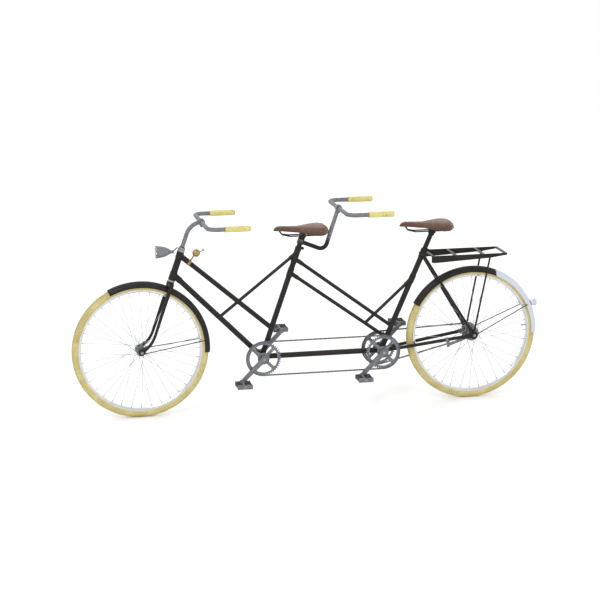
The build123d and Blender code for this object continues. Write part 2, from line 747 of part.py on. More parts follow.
def make_fork():
    steerer_low, steerer_high = crown_bottom + 8, head_tube_top + 26
    steerer = pipe(at(steer(steerer_low)), at(steer(steerer_high)), steerer_r, steerer_wall)
    crown = crown_block()
    blades, plates = [], []
    for side in (-1, 1):
        low, high = sorted((side * front_half_spacing, side * (front_half_spacing + dropout_thick)))
        plate = dropout(front_hub, [(steer(blade_foot[0] + 30, blade_foot[1] + 14), 46, 5)], low, high, 17.0)
        solid = fork_blade(side, blade_top_r, blade_foot_r)
        hollow = fork_blade(side, blade_top_r - 1.5, blade_foot_r - 1.5)
        plug = Pos(*at(front_hub, side * 52)) * Sphere(70)
        blades.append(solid - (hollow - plug) - plate)
        crown = crown - solid
        plates.append(plate - cross_rod(front_hub, -80, 80, axle_r))
    crown = crown - long_rod(steer(steerer_low), steer(steerer_high), steerer_r)
    node("fork_crown", crown, steerer)
    node("fork_blades", *blades, *plates)


def crown_block():
    """The crown: a round-ended bar across the blades, deeper round the steerer."""
    start = at(steer(crown_bottom))
    plane = Plane(origin=start, x_dir=(0, 1, 0), z_dir=at(steer(crown_bottom + 1)) - start)
    outline = SlotCenterToCenter(2 * blade_top_y, 27.0)
    bar = extrude(plane * outline, crown_height - 6)
    neck = long_rod(steer(crown_bottom), steer(crown_bottom + crown_height), head_tube_r + 1)
    return bar + neck


lamp_ring = 3.0
thin_race = 5.0
lock_nut_height = 8.0


def make_headset():
    crown_top = crown_bottom + crown_height
    race = long_rod(steer(crown_top), steer(crown_top + race_height), head_tube_r + 1)
    top = head_tube_top + cup_height + body_gap
    upper = long_rod(steer(top), steer(top + thin_race), head_tube_r + 1)
    nut_low = top + thin_race + lamp_ring
    nut_high = nut_low + lock_nut_height
    locknut = long_rod(steer(nut_low), steer(nut_high), head_tube_r)
    hole = rod_past(steer(crown_top), steer(nut_high), steerer_r)
    node("headset_races", race - hole, upper - hole, locknut - hole)
    node("headlamp_bracket", lamp_bracket(top + thin_race))


lamp_length = 74.0
lamp_r = 32.0
lamp_rear_r = 9.0
lamp_place = (88.0, 857.0)
lamp_pivot = (173.0, 855.0)
lamp_pin_r = 3.0
lamp_arm_r = 3.5
lamp_tongue = 25.0
lamp_tongue_width = 9.0
lamp_boss_half = 6.0
lamp_ear_thick = 3.0
lamp_wall = 1.6
lamp_bezel = 4.0


def lamp_bracket(t):
    """A ring under the lock nut with a tongue and an arm to the lamp's pivot, and the pivot pin in it."""
    start = at(steer(t))
    up = at(steer(t + 1)) - start
    plane = Plane(origin=start, x_dir=at(steer(t, -1)) - start, z_dir=up)
    outline = Circle(head_tube_r + 1) + Pos(lamp_tongue / 2, 0) * Rectangle(lamp_tongue, lamp_tongue_width)
    ring = extrude(plane * outline, lamp_ring, dir=up)
    elbow = at(steer(t + lamp_ring / 2, -lamp_tongue))
    arm = rod(elbow, at(lamp_pivot), lamp_arm_r) + ball(elbow, lamp_arm_r)
    boss = cross_rod(lamp_pivot, -lamp_boss_half, lamp_boss_half, 6.0)
    pin = cross_rod(lamp_pivot, -12, 12, lamp_pin_r)
    return ring + arm + boss + pin - rod_past(steer(t), steer(t + lamp_ring), steerer_r)


def bullet(shrink):
    """The lamp's body: a curve turned about a level line."""
    front, rear, z = lamp_place[0], lamp_place[0] + lamp_length, lamp_place[1]
    points = [(front + lamp_bezel, lamp_r - shrink), (front + 28, lamp_r - 3 - shrink),
              (rear - 16, lamp_r * 0.62 - shrink), (rear - shrink, max(lamp_rear_r - shrink, 1.0))]
    points = [(x - middle_x, r) for x, r in points]
    first, last = points[0], points[-1]
    base = Polyline(last, (last[0], 0), (first[0], 0), first)
    section = make_face([Spline(*points), *base.edges()])
    section = Plane(origin=(0, 0, z), x_dir=(1, 0, 0), z_dir=(0, -1, 0)) * section
    return revolve(section, Axis((0, 0, z), (1, 0, 0)), 360)


def make_headlamp():
    front, rear, z = lamp_place[0], lamp_place[0] + lamp_length, lamp_place[1]
    inside = bullet(lamp_wall)
    bezel = long_rod(lamp_place, (front + lamp_bezel, z), lamp_r + 1.5)
    bezel = bezel - long_rod((front - 1, z), (front + lamp_bezel + 1, z), lamp_r - 3)
    shell = bullet(0) - inside + bezel + long_rod((rear - 10, z), (rear, z), 11.5) - inside
    near = lamp_boss_half + body_gap
    root = [(rear - 8, z - 9), (lamp_pivot[0], z - 8.5), (lamp_pivot[0], z + 4.5), (rear - 8, z + 5)]
    for side in (-1, 1):
        low, high = sorted((side * near, side * (near + lamp_ear_thick)))
        shell = shell + cross_rod(lamp_pivot, low, high, 7.0) + side_plate(side_outline(root), low, high)
    shell = shell - cross_rod(lamp_pivot, -20, 20, lamp_pin_r + running_fit)
    node("headlamp_shell", shell)
    node("headlamp_lens", long_rod((front + 1, z), (front + lamp_bezel - 0.5, z), lamp_r - 3))


def guard_section():
    """The mudguard's rolled section: an arch over the tyre."""
    edge_r, half = guard_r - guard_drop, guard_half_width
    outer = ThreePointArc((edge_r, -half), (guard_r, 0), (edge_r, half))
    inner_half = half - guard_wall
    inner = ThreePointArc((edge_r, inner_half), (guard_r - guard_wall, 0), (edge_r, -inner_half))
    joins = [Line((edge_r, half), (edge_r, inner_half)), Line((edge_r, -inner_half), (edge_r, -half))]
    return make_face([outer, joins[0], inner, joins[1]])


front_guard_span = (-4.0, 117.0)
rear_guard_span = (-2.0, 151.0)
guard_stay_r = 2.5
guard_stay_clear = 1.2


def guard_stay(hub, start, start_y, angle, side):
    """A wire stay from beside a fork end to the mudguard's edge, with the eye that bolts it there."""
    edge_y = guard_half_width + guard_stay_r + seat_gap + guard_stay_clear
    end = along(hub, angle, guard_r - guard_drop + 3)
    tip = at(end, side * edge_y)
    rod_piece = wire([at(start, side * start_y), tip], guard_stay_r) + ball(tip, guard_stay_r + 0.5)
    return rod_piece + ball(at(start, side * start_y), guard_stay_r + 0.9)


def make_mudguards():
    section = guard_section()
    node("front_mudguard", turned(section, front_hub, front_guard_span[0],
                                  front_guard_span[1] - front_guard_span[0]))
    node("rear_mudguard", turned(section, rear_hub, rear_guard_span[0],
                                 rear_guard_span[1] - rear_guard_span[0]))
    front_y = front_half_spacing + dropout_thick + guard_stay_r + 0.9 + seat_gap
    rear_y = rear_half_spacing + dropout_thick + guard_stay_r + 0.9 + seat_gap
    front_start, rear_start = along(front_hub, -25, 13.5), along(rear_hub, 20, 16.5)
    node("front_mudguard_stays", *[guard_stay(front_hub, front_start, front_y, 7, side) for side in (-1, 1)])
    node("rear_mudguard_stays", *[guard_stay(rear_hub, rear_start, rear_y, 25, side) for side in (-1, 1)],
         *rack_stays())


tail_lamp_angle = 24.0
tail_lamp_r = 19.0


def make_tail_lamp():
    place = along(rear_hub, tail_lamp_angle, guard_r)
    rear_face = rear_hub[0] + guard_r - 2
    body = rod(at((place[0] - 12, place[1])), at((rear_face - 6, place[1])), tail_lamp_r - 3)
    rim = rod(at((rear_face - 8, place[1])), at((rear_face, place[1])), tail_lamp_r)
    keep_off = disc(rear_hub, -60, 60, guard_r + seat_gap, 100)
    node("tail_lamp", body + rim - keep_off)


# ---------------------------------------------------------------- steering parts
quill_r = steerer_r - steerer_wall - running_fit
bar_r = 11.1
clamp_bar_r = 12.7
grip_r = 16.0
bar_bend = 46.0
grip_end = 4.0


def handlebar(centre, reach):
    """A level bar: straight across the rider, then both ends bent square to the rear."""
    half, x, z = bar_half_width, centre[0] - middle_x, centre[1]
    corners = [(x + reach, -half, z), (x, -half, z), (x, half, z), (x + reach, half, z)]
    path = FilletPolyline(*corners, radius=bar_bend)
    bar = swept_pipe(path, bar_r, 1.6)
    sleeve = cross_rod(centre, -24, 24, clamp_bar_r) - cross_rod(centre, -30, 30, bar_r - 1.6)
    return bar + sleeve


def grips(centre, reach):
    pieces = []
    for side in (-1, 1):
        start = at((centre[0] + reach - grip_length + grip_end, centre[1]), side * bar_half_width)
        end = at((centre[0] + reach + grip_end, centre[1]), side * bar_half_width)
        stop = at((centre[0] + reach, centre[1]), side * bar_half_width)
        pieces.append(rod(start, end, grip_r) - rod(start, stop, bar_r))
    return pieces


clamp_half_width = 18.0
binder_half = 11.0
binder_r = 2.5


def binder_place(centre):
    return (centre[0], centre[1] - clamp_bar_r - 6.5)


def clamp_barrel(centre):
    outer = cross_rod(centre, -clamp_half_width, clamp_half_width, clamp_bar_r + 4.6)
    return outer + cross_rod(binder_place(centre), -binder_half, binder_half, 7.0)


def clamp_bores(centre):
    bolt_hole = cross_rod(binder_place(centre), -30, 30, binder_r + 0.1)
    return cross_rod(centre, -40, 40, clamp_bar_r + running_fit) + bolt_hole


def binder_bolt(centre):
    """The bolt through the lug under a clamp, with its head and nut."""
    near, far = binder_half + 0.3, binder_half + 4
    bolt = cross_rod(binder_place(centre), -far, far, binder_r)
    for low, high in ((near, far), (-far, -near)):
        bolt = bolt + cross_rod(binder_place(centre), low, high, 4.5)
    return bolt


front_bar_reach = 210.0
stoker_bar_reach = 232.0
stem_straight_top = 640.0
quill_bottom = 430.0
quill_wall = 2.6


def make_front_steering():
    centre = (front_bar_x, front_bar_z)
    up = Line(at(steer(quill_bottom)), at(steer(stem_straight_top)))
    bend = TangentArc(up @ 1, at(centre), tangent=up % 1)
    neck = swept_pipe(up, quill_r, quill_wall) + swept_pipe(bend, quill_r, quill_wall)
    stem = neck + clamp_barrel(centre) - clamp_bores(centre)
    wedge = long_rod(steer(quill_bottom - 18), steer(quill_bottom - seat_gap), quill_r)
    bolt = long_rod(steer(quill_bottom - 16), steer(stem_straight_top - 10), 3.5)
    node("handlebar_stem", stem, wedge - bolt, bolt, binder_bolt(centre) - stem)
    node("front_handlebar", handlebar(centre, front_bar_reach))
    node("front_grips", *grips(centre, front_bar_reach))


stoker_clamp = 631.0
stoker_clamp_half = 12.0
stoker_stem_r = 11.0
stoker_elbow = (962.0, 829.0)
stoker_stem_bend = 34.0


def make_stoker_steering():
    """The second rider's fixed bar, carried behind the first saddle by an arm on its post."""
    centre = (stoker_bar_x, stoker_bar_z)
    start, top = front_seat(stoker_clamp), (stoker_bar_x - 2, stoker_bar_z - 4)
    path = FilletPolyline(at(start), at(stoker_elbow), at(top), radius=stoker_stem_bend)
    collar = long_rod(front_seat(stoker_clamp - stoker_clamp_half), front_seat(stoker_clamp + stoker_clamp_half),
                      seat_post_r + 5)
    arm = sweep(Plane(origin=path @ 0, z_dir=path % 0) * Circle(stoker_stem_r), path)
    post_hole = long_rod(front_seat(stoker_clamp - 40), front_seat(stoker_clamp + 40), seat_post_r)
    stem = arm + collar + clamp_barrel(centre) - post_hole - clamp_bores(centre)
    node("stoker_stem", stem, binder_bolt(centre) - stem)
    node("stoker_handlebar", handlebar(centre, stoker_bar_reach))
    node("stoker_grips", *grips(centre, stoker_bar_reach))


# ---------------------------------------------------------------- saddles and posts
front_saddle_at = 662.0
rear_saddle_at = 678.0
post_insert = 150.0
rail_r = 3.5
rail_y = 21.0
leather_wall = 5.0
rear_saddle_forward = 24.0


def saddle_outline(shrink):
    """Plan of the saddle: narrow rounded nose, wide rounded tail."""
    nose = ThreePointArc((-134, shrink - 16), (-147 + shrink, 0), (-134, 16 - shrink))
    flank = [(-134, 16), (-100, 19), (-45, 30), (15, 65), (60, 92), (94, 92), (116, 66), (126, 0)]
    upper = Spline(*[(x - shrink * (x > 110), y - shrink * (y > 0)) for x, y in flank])
    return make_face([nose, upper, *mirror(upper, Plane.XZ).edges()])


def saddle_profile(shrink):
    """Side view: raised nose, slight dip, raised tail, and a skirt that deepens to the rear."""
    top = Spline((-150, 52 - shrink), (-118, 57 - shrink), (-30, 53 - shrink), (50, 58 - shrink), (84, 60 - shrink),
                 (112, 54 - shrink), (128, 40 - shrink))
    low = [(128, 40 - shrink), (128, 14 - 2 * shrink), (70, 10 - 2 * shrink), (-20, 24 - 2 * shrink),
           (-150, 30 - 2 * shrink), (-150, 52 - shrink)]
    return make_face([top, *Polyline(*low).edges()])


def saddle_leather(centre):
    def body(shrink):
        plan = extrude(Plane.XY.offset(-60) * saddle_outline(shrink), 160, dir=(0, 0, 1))
        side = extrude(Plane.XZ.offset(-120) * saddle_profile(shrink), 240, dir=(0, -1, 0))
        return plan & side

    cap = body(0) - body(leather_wall)
    return Pos(*at(centre)) * cap


def make_saddle(name, clamp, seat_line, clamp_s, forward, post_low):
    """A leather saddle: the hide, its wire undercarriage and clamp, on a plain post."""
    centre = (clamp[0] - forward, clamp[1])
    rails = []
    for side in (-1, 1):
        points = [(-126, 38, 5.8), (-108, 12, 10.2), (-70, 4, rail_y), (62, 4, rail_y),
                  (96, 8, 40), (108, 36, 56)]
        points = [at((centre[0] + x, centre[1] + z), side * y) for x, z, y in points]
        rails.append(wire(points, rail_r))
    nose = Pos(*at((centre[0] - 121, centre[1] + 41))) * Box(26, 18, 5)
    cantle = Pos(*at((centre[0] + 101, centre[1] + 38))) * Box(14, 116, 5)
    post_solid = long_rod(seat_line(post_low), seat_line(clamp_s + 4), seat_post_r)
    block = cross_rod((clamp[0], clamp[1] + 3), -27, 27, 12.5)
    block = block + long_rod(seat_line(clamp_s - 18), seat_line(clamp_s - 2), seat_post_r + 4)
    for rail in rails:
        block = block - rail
    block = block - post_solid
    bolt = cross_rod((clamp[0], clamp[1] + 3), 27, 33, 6.5)
    node(name + "_saddle_frame", rails[0] + nose + cantle + rails[1], block, bolt)
    node(name + "_saddle_leather", saddle_leather(centre))
    inner = long_rod(seat_line(post_low - 1), seat_line(clamp_s - 25), seat_post_r - 2.0)
    node(name + "_seat_post", post_solid - inner)


def make_saddles():
    make_saddle("front", front_seat(front_saddle_at), front_seat, front_saddle_at, 0.0,
                front_seat_tube_top - post_insert)
    make_saddle("rear", rear_seat(rear_saddle_at), rear_seat, rear_saddle_at, rear_saddle_forward,
                rear_seat_tube_top - post_insert)


# ---------------------------------------------------------------- luggage rack and bell
rack_top = 790.0
rack_half_width = 88.0
rack_plate = 4.0
rack_rear = 1918.0
cross_bar_width = 16.0
cross_bar_thick = 5.0
rack_stay_r = 5.0
rack_front_gap = 10.0
rack_lean = towards(rear_seat_angle)[1]
rack_seat_x = rear_seat((rack_top - 6 - bracket_height) / rack_lean)[0]
rack_start = rack_seat_x + (seat_tube_r + lug_wall) / rack_lean + rack_front_gap


def make_rack():
    start = rack_start
    rail = [(start, rack_top), (rack_rear, rack_top), (rack_rear, rack_top - 10), (start + 320, rack_top - 22),
            (start + 14, rack_top - 38), (start, rack_top - 34)]
    inner, outer = rack_half_width - rack_plate, rack_half_width
    plates = [side_plate(side_outline(rail), *sorted((side * inner, side * outer))) for side in (-1, 1)]
    frame = plates[0] + plates[1]
    for x in (start, start + 122, start + 272, rack_rear - cross_bar_width):
        bar = [(x, rack_top), (x + cross_bar_width, rack_top), (x + cross_bar_width, rack_top - cross_bar_thick),
               (x, rack_top - cross_bar_thick)]
        frame = frame + side_plate(side_outline(bar), -inner, inner)
    node("rear_rack", frame)


def rack_stays():
    """The two long stays from the rear fork ends to the rack's side plates."""
    stays = []
    for side in (-1, 1):
        foot = at(along(rear_hub, 97, 16), side * (rear_half_spacing + dropout_thick + rack_stay_r + seat_gap))
        head_y = rack_half_width - rack_plate - rack_stay_r - seat_gap
        head = at((rack_start + 318, rack_top - 16), side * head_y)
        stays.append(rod(foot, head, rack_stay_r) + ball(head, rack_stay_r))
    return stays


bell_place = (293.0, 846.0)
bell_r = 20.0
bell_base_y = -9.0
bell_wall = 1.6


def bell_body(arch):
    """A solid of revolution under a domed curve that ends on the bell's axis."""
    curve = Spline(*arch)
    base = Polyline(arch[-1], (arch[-1][0], arch[0][1]), arch[0])
    return turned(make_face([curve, *base.edges()]), bell_place)


def make_bell():
    x_head, z_head = top_tube_ends[0]
    x_seat, z_seat = top_tube_ends[1]
    length = hypot(x_seat - x_head, z_seat - z_head)
    hold = between(*top_tube_ends, 62 / length)
    low, high = between(*top_tube_ends, 55 / length), between(*top_tube_ends, 69 / length)
    clip = long_rod(low, high, top_tube_r + 2.5)
    stalk = long_rod(hold, bell_place, 4.0)
    boss = cross_rod(bell_place, bell_base_y, 4, 8.0)
    base = cross_rod(bell_place, bell_base_y - 2, bell_base_y, bell_r - 3)
    pivot = (bell_place[0] + 11, bell_place[1])
    pin = cross_rod(pivot, bell_base_y, bell_base_y + 4.5, 1.5)
    post = cross_rod(bell_place, bell_base_y - 13.2, bell_base_y - 2, 3.0)
    bracket = clip + stalk + boss + base + pin + post - long_rod(*top_tube_ends, top_tube_r)
    arch = [(bell_r, bell_base_y - 1), (bell_r * 0.86, bell_base_y - 8), (bell_r * 0.5, bell_base_y - 13),
            (0.001, bell_base_y - 15)]
    cavity = [(max(r - bell_wall, 0.001), y + bell_wall + 0.2) for r, y in arch]
    dome = bell_body(arch) - bell_body(cavity) - bracket
    node("bell", dome, bracket)
    tip = (bell_place[0] + 36, bell_place[1] + 14)
    lever = cross_rod(pivot, bell_base_y + 0.5, bell_base_y + 3, 2.7)
    blade = [(pivot[0] + 1, pivot[1] - 2), (tip[0], tip[1] - 4), (tip[0] + 3, tip[1] + 3),
             (pivot[0] - 1, pivot[1] + 2.4)]
    lever = lever + side_plate(side_outline(blade), bell_base_y + 0.5, bell_base_y + 3)
    lever = lever + cross_rod(tip, bell_base_y - 6, bell_base_y + 6, 4.5)
    node("bell_lever", lever - cross_rod(pivot, -40, 40, 1.5 + running_fit))


# ---------------------------------------------------------------- build and write
make_main_tubes()
make_lugs()
make_seat_clamps()
make_brackets()
make_rear_triangle()
make_wheels()
make_rear_drive()
make_drive()
make_fork()
make_headset()
make_headlamp()
make_mudguards()
make_tail_lamp()
make_front_steering()
make_stoker_steering()
make_saddles()
make_rack()
make_bell()

os.makedirs("parts", exist_ok=True)
for name, solids in nodes.items():
    export_step(Compound(solids), f"parts/{name}.step")
print(len(nodes), "nodes written; wheelbase", round(wheelbase, 1), "middle", round(middle_x, 2))
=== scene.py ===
import bmesh
import bpy
import json
from math import acos, atan2, ceil, cos, hypot, pi, radians, sin
from mathutils import Matrix, Vector


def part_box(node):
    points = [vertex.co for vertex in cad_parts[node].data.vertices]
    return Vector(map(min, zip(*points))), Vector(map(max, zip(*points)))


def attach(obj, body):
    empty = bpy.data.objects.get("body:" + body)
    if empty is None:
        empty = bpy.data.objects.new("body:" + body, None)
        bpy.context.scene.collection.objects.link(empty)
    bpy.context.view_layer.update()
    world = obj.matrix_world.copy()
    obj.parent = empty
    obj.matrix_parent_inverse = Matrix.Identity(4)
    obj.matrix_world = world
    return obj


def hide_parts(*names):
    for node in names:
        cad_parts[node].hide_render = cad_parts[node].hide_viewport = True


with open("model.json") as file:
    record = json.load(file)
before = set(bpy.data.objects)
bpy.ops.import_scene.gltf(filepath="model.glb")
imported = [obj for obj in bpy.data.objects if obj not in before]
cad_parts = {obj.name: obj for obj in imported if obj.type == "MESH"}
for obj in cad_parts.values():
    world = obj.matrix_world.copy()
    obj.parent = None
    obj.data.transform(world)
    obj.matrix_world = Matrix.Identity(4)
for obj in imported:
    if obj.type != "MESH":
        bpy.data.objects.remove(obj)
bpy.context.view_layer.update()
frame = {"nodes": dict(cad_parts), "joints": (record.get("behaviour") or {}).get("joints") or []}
scene = bpy.context.scene
jointPlace = {joint["name"]: Vector(joint["pos_m"]) for joint in frame["joints"] if joint.get("pos_m")}
frontHub = jointPlace["front_wheel_spin"]
rearHub = jointPlace["rear_wheel_spin"]
frontBracket = jointPlace["front_crank_spin"]
rearBracket = jointPlace["rear_crank_spin"]
print("frame loaded")


# camera, lights and floor
view = {"azimuth": -12.5, "elevation": 14.0, "distance": 10.1, "aim": (0.0089, 0.0, 0.4), "lens": 116.8,
        "shift": (-0.0182, 0.053)}


def makeCamera():
    turn, rise = radians(view["azimuth"]), radians(view["elevation"])
    aim = Vector(view["aim"])
    back = Vector((sin(turn) * cos(rise), -cos(turn) * cos(rise), sin(rise)))
    data = bpy.data.cameras.new("camera")
    data.lens = view["lens"]
    data.shift_x, data.shift_y = view["shift"]
    data.clip_end = 1000
    camera = bpy.data.objects.new("camera", data)
    camera.location = aim + back * view["distance"]
    camera.rotation_euler = (-back).to_track_quat("-Z", "Y").to_euler()
    scene.collection.objects.link(camera)
    scene.camera = camera


studio = {"worldStrength": 1.08, "floorReach": 400.0, "floorColour": (0.93, 0.93, 0.93, 1)}
lamps = [
    {"name": "keyLight", "place": (-3.2, -5.0, 5.5), "size": 3.0, "power": 130},
    {"name": "fillLight", "place": (5.0, -4.0, 3.5), "size": 5.0, "power": 30},
    {"name": "backLight", "place": (1.0, 6.0, 5.0), "size": 6.0, "power": 70},
]


def makeStudio():
    world = bpy.data.worlds.new("studio")
    world.use_nodes = True
    world.node_tree.nodes["Background"].inputs["Color"].default_value = (1, 1, 1, 1)
    world.node_tree.nodes["Background"].inputs["Strength"].default_value = studio["worldStrength"]
    scene.world = world
    scene.view_settings.view_transform = "Standard"
    for lamp in lamps:
        data = bpy.data.lights.new(lamp["name"], "AREA")
        data.energy = lamp["power"]
        data.size = lamp["size"]
        light = bpy.data.objects.new(lamp["name"], data)
        light.location = lamp["place"]
        aim = Vector(lamp["place"]) - Vector((0, 0, 0.4))
        light.rotation_euler = aim.to_track_quat("Z", "Y").to_euler()
        scene.collection.objects.link(light)
    reach = studio["floorReach"]
    mesh = bpy.data.meshes.new("floor")
    corners = [(-reach, -reach, 0), (reach, -reach, 0), (reach, reach, 0), (-reach, reach, 0)]
    mesh.from_pydata(corners, [], [(0, 1, 2, 3)])
    floor = bpy.data.objects.new("floor", mesh)
    scene.collection.objects.link(floor)
    material = bpy.data.materials.new("floorPaper")
    material.use_nodes = True
    shader = material.node_tree.nodes["Principled BSDF"]
    shader.inputs["Base Color"].default_value = studio["floorColour"]
    shader.inputs["Roughness"].default_value = 0.55
    shader.inputs["Specular IOR Level"].default_value = 0.2
    mesh.materials.append(material)


makeCamera()
makeStudio()
print("camera and studio ready")


# node tree tools
def put(tree, kind, values=None, **settings):
    made = tree.nodes.new(kind)
    for key, value in settings.items():
        setattr(made, key, value)
    for key, value in (values or {}).items():
        if isinstance(value, bpy.types.NodeSocket):
            tree.links.new(value, made.inputs[key])
        else:
            made.inputs[key].default_value = value
    return made


def maths(tree, operation, a, b=0.0, c=0.0):
    return put(tree, "ShaderNodeMath", {0: a, 1: b, 2: c}, operation=operation).outputs[0]


def newGroup(name, kind, inputs, outputs):
    tree = bpy.data.node_groups.new(name, kind)
    for label, socketKind in inputs:
        tree.interface.new_socket(label, in_out="INPUT", socket_type="NodeSocket" + socketKind)
    for label, socketKind in outputs:
        tree.interface.new_socket(label, in_out="OUTPUT", socket_type="NodeSocket" + socketKind)
    return tree, tree.nodes.new("NodeGroupInput").outputs, tree.nodes.new("NodeGroupOutput")


# shader groups that the finishes share
def patchGroup():
    # broad blotches broken up by finer ones
    tree, given, result = newGroup("patches", "ShaderNodeTree",
                                   [("Vector", "Vector"), ("Scale", "Float"), ("Low", "Float"),
                                    ("High", "Float")],
                                   [("Mask", "Float")])
    broad = put(tree, "ShaderNodeTexNoise", {"Vector": given["Vector"], "Scale": given["Scale"], "Detail": 6.0,
                                             "Roughness": 0.65}).outputs["Fac"]
    mask = put(tree, "ShaderNodeMapRange", {"Value": broad, "From Min": given["Low"],
                                            "From Max": given["High"]})
    tree.links.new(mask.outputs[0], result.inputs["Mask"])
    return tree


def grainGroup():
    # fine surface texture: sanded noise with small pits
    tree, given, result = newGroup("grain", "ShaderNodeTree", [("Vector", "Vector"), ("Scale", "Float")],
                                   [("Height", "Float")])
    fine = put(tree, "ShaderNodeTexNoise", {"Vector": given["Vector"], "Scale": given["Scale"], "Detail": 4.0})
    pits = put(tree, "ShaderNodeTexVoronoi", {"Vector": given["Vector"], "Scale": given["Scale"]})
    shallow = maths(tree, "MULTIPLY", pits.outputs["Distance"], 0.35)
    tree.links.new(maths(tree, "ADD", fine.outputs["Fac"], shallow), result.inputs["Height"])
    return tree


def dustGroup():
    # dust that lies on faces that look up, and road dirt that thins out with height
    tree, given, result = newGroup("dust", "ShaderNodeTree",
                                   [("Vector", "Vector"), ("Top", "Float"), ("Amount", "Float")],
                                   [("Mask", "Float")])
    height = put(tree, "ShaderNodeSeparateXYZ", {0: given["Vector"]}).outputs["Z"]
    low = put(tree, "ShaderNodeMapRange", {"Value": height, "From Min": given["Top"],
                                           "From Max": 0.0}).outputs[0]
    normal = put(tree, "ShaderNodeNewGeometry").outputs["Normal"]
    up = put(tree, "ShaderNodeSeparateXYZ", {0: normal}).outputs["Z"]
    facing = put(tree, "ShaderNodeMapRange", {"Value": up, "From Min": 0.3, "From Max": 1.0}).outputs[0]
    speckle = put(tree, "ShaderNodeTexNoise", {"Vector": given["Vector"], "Scale": 90.0,
                                               "Detail": 5.0}).outputs["Fac"]
    cover = maths(tree, "MULTIPLY", maths(tree, "ADD", maths(tree, "MULTIPLY", low, 0.7), facing), speckle)
    tree.links.new(maths(tree, "MULTIPLY", cover, given["Amount"]), result.inputs["Mask"])
    return tree


def creaseGroup():
    # the pebbled cells and fine creases of hide
    tree, given, result = newGroup("creases", "ShaderNodeTree", [("Vector", "Vector"), ("Scale", "Float")],
                                   [("Height", "Float"), ("Crease", "Float")])
    bend = put(tree, "ShaderNodeTexNoise", {"Vector": given["Vector"], "Scale": 60.0,
                                            "Detail": 3.0}).outputs["Color"]
    pull = put(tree, "ShaderNodeVectorMath", {0: bend, "Scale": 0.004}, operation="SCALE").outputs[0]
    moved = put(tree, "ShaderNodeVectorMath", {0: given["Vector"], 1: pull}, operation="ADD").outputs[0]
    cells = put(tree, "ShaderNodeTexVoronoi", {"Vector": moved, "Scale": given["Scale"]},
                feature="DISTANCE_TO_EDGE")
    crease = put(tree, "ShaderNodeMapRange", {"Value": cells.outputs["Distance"], "From Min": 0.12,
                                              "From Max": 0.0})
    height = maths(tree, "SUBTRACT", 1.0, crease.outputs[0])
    tree.links.new(height, result.inputs["Height"])
    tree.links.new(crease.outputs[0], result.inputs["Crease"])
    return tree


groups = {"patches": patchGroup(), "grain": grainGroup(), "dust": dustGroup(), "creases": creaseGroup()}


def useGroup(tree, name, values):
    made = tree.nodes.new("ShaderNodeGroup")
    made.node_tree = groups[name]
    for key, value in values.items():
        if isinstance(value, bpy.types.NodeSocket):
            tree.links.new(value, made.inputs[key])
        else:
            made.inputs[key].default_value = value
    return made.outputs


def overlay(tree, mask, under, over):
    made = tree.nodes.new("ShaderNodeMix")
    made.data_type = "RGBA"
    for index, value in ((0, mask), (6, under), (7, over)):
        if isinstance(value, bpy.types.NodeSocket):
            tree.links.new(value, made.inputs[index])
        else:
            made.inputs[index].default_value = (*value, 1) if index else value
    return made.outputs[2]


def bump(tree, height, strength, distance, normal=None):
    values = {"Height": height, "Strength": strength, "Distance": distance}
    if normal:
        values["Normal"] = normal
    return put(tree, "ShaderNodeBump", values).outputs["Normal"]


def newFinish(name, look):
    # base colour, a second tone in blotches, worn spots, dust, roughness from the blotches and a fine grain
    material = bpy.data.materials.new(name)
    material.use_nodes = True
    tree = material.node_tree
    shader = tree.nodes["Principled BSDF"]
    place = put(tree, "ShaderNodeTexCoord").outputs["Object"]
    blotch = useGroup(tree, "patches", {"Vector": place, "Scale": look["blotchScale"], "Low": 0.35,
                                        "High": 0.65})[0]
    colour = overlay(tree, blotch, look["base"], look["tone"])
    if "worn" in look:
        low, high = look["wornFrom"]
        spots = useGroup(tree, "patches", {"Vector": place, "Scale": look["wornScale"], "Low": low,
                                           "High": high})[0]
        colour = overlay(tree, spots, colour, look["worn"])
    if "dust" in look:
        film = useGroup(tree, "dust", {"Vector": place, "Top": look["dustTop"],
                                       "Amount": look["dustAmount"]})[0]
        colour = overlay(tree, film, colour, look["dust"])
    low, high = look["rough"]
    rough = put(tree, "ShaderNodeMapRange", {"Value": blotch, "To Min": low, "To Max": high}).outputs[0]
    grain = useGroup(tree, "grain", {"Vector": place, "Scale": look["grainScale"]})[0]
    normal = bump(tree, grain, look["grainStrength"], look.get("grainDepth", 0.0004))
    tree.links.new(colour, shader.inputs["Base Color"])
    tree.links.new(rough, shader.inputs["Roughness"])
    tree.links.new(normal, shader.inputs["Normal"])
    for socket, value in look.get("sockets", {}).items():
        shader.inputs[socket].default_value = value
    return material, tree, shader, place, colour, normal


def repaint(tree, shader, mask, colour, over):
    tree.links.new(overlay(tree, mask, colour, over), shader.inputs["Base Color"])


enamel = {"base": (0.011, 0.0095, 0.009), "tone": (0.018, 0.015, 0.0135), "blotchScale": 9.0,
          "worn": (0.060, 0.044, 0.033), "wornScale": 120.0, "wornFrom": (0.68, 0.74),
          "dust": (0.075, 0.066, 0.057), "dustTop": 0.45, "dustAmount": 0.25, "rough": (0.34, 0.52),
          "grainScale": 420.0, "grainStrength": 0.10, "grainDepth": 0.0003,
          "sockets": {"Coat Weight": 0.05, "Coat Roughness": 0.15, "Specular IOR Level": 0.18}}
tailPaint = {"white": (0.53, 0.57, 0.635), "from": 0.132, "soft": 0.010}


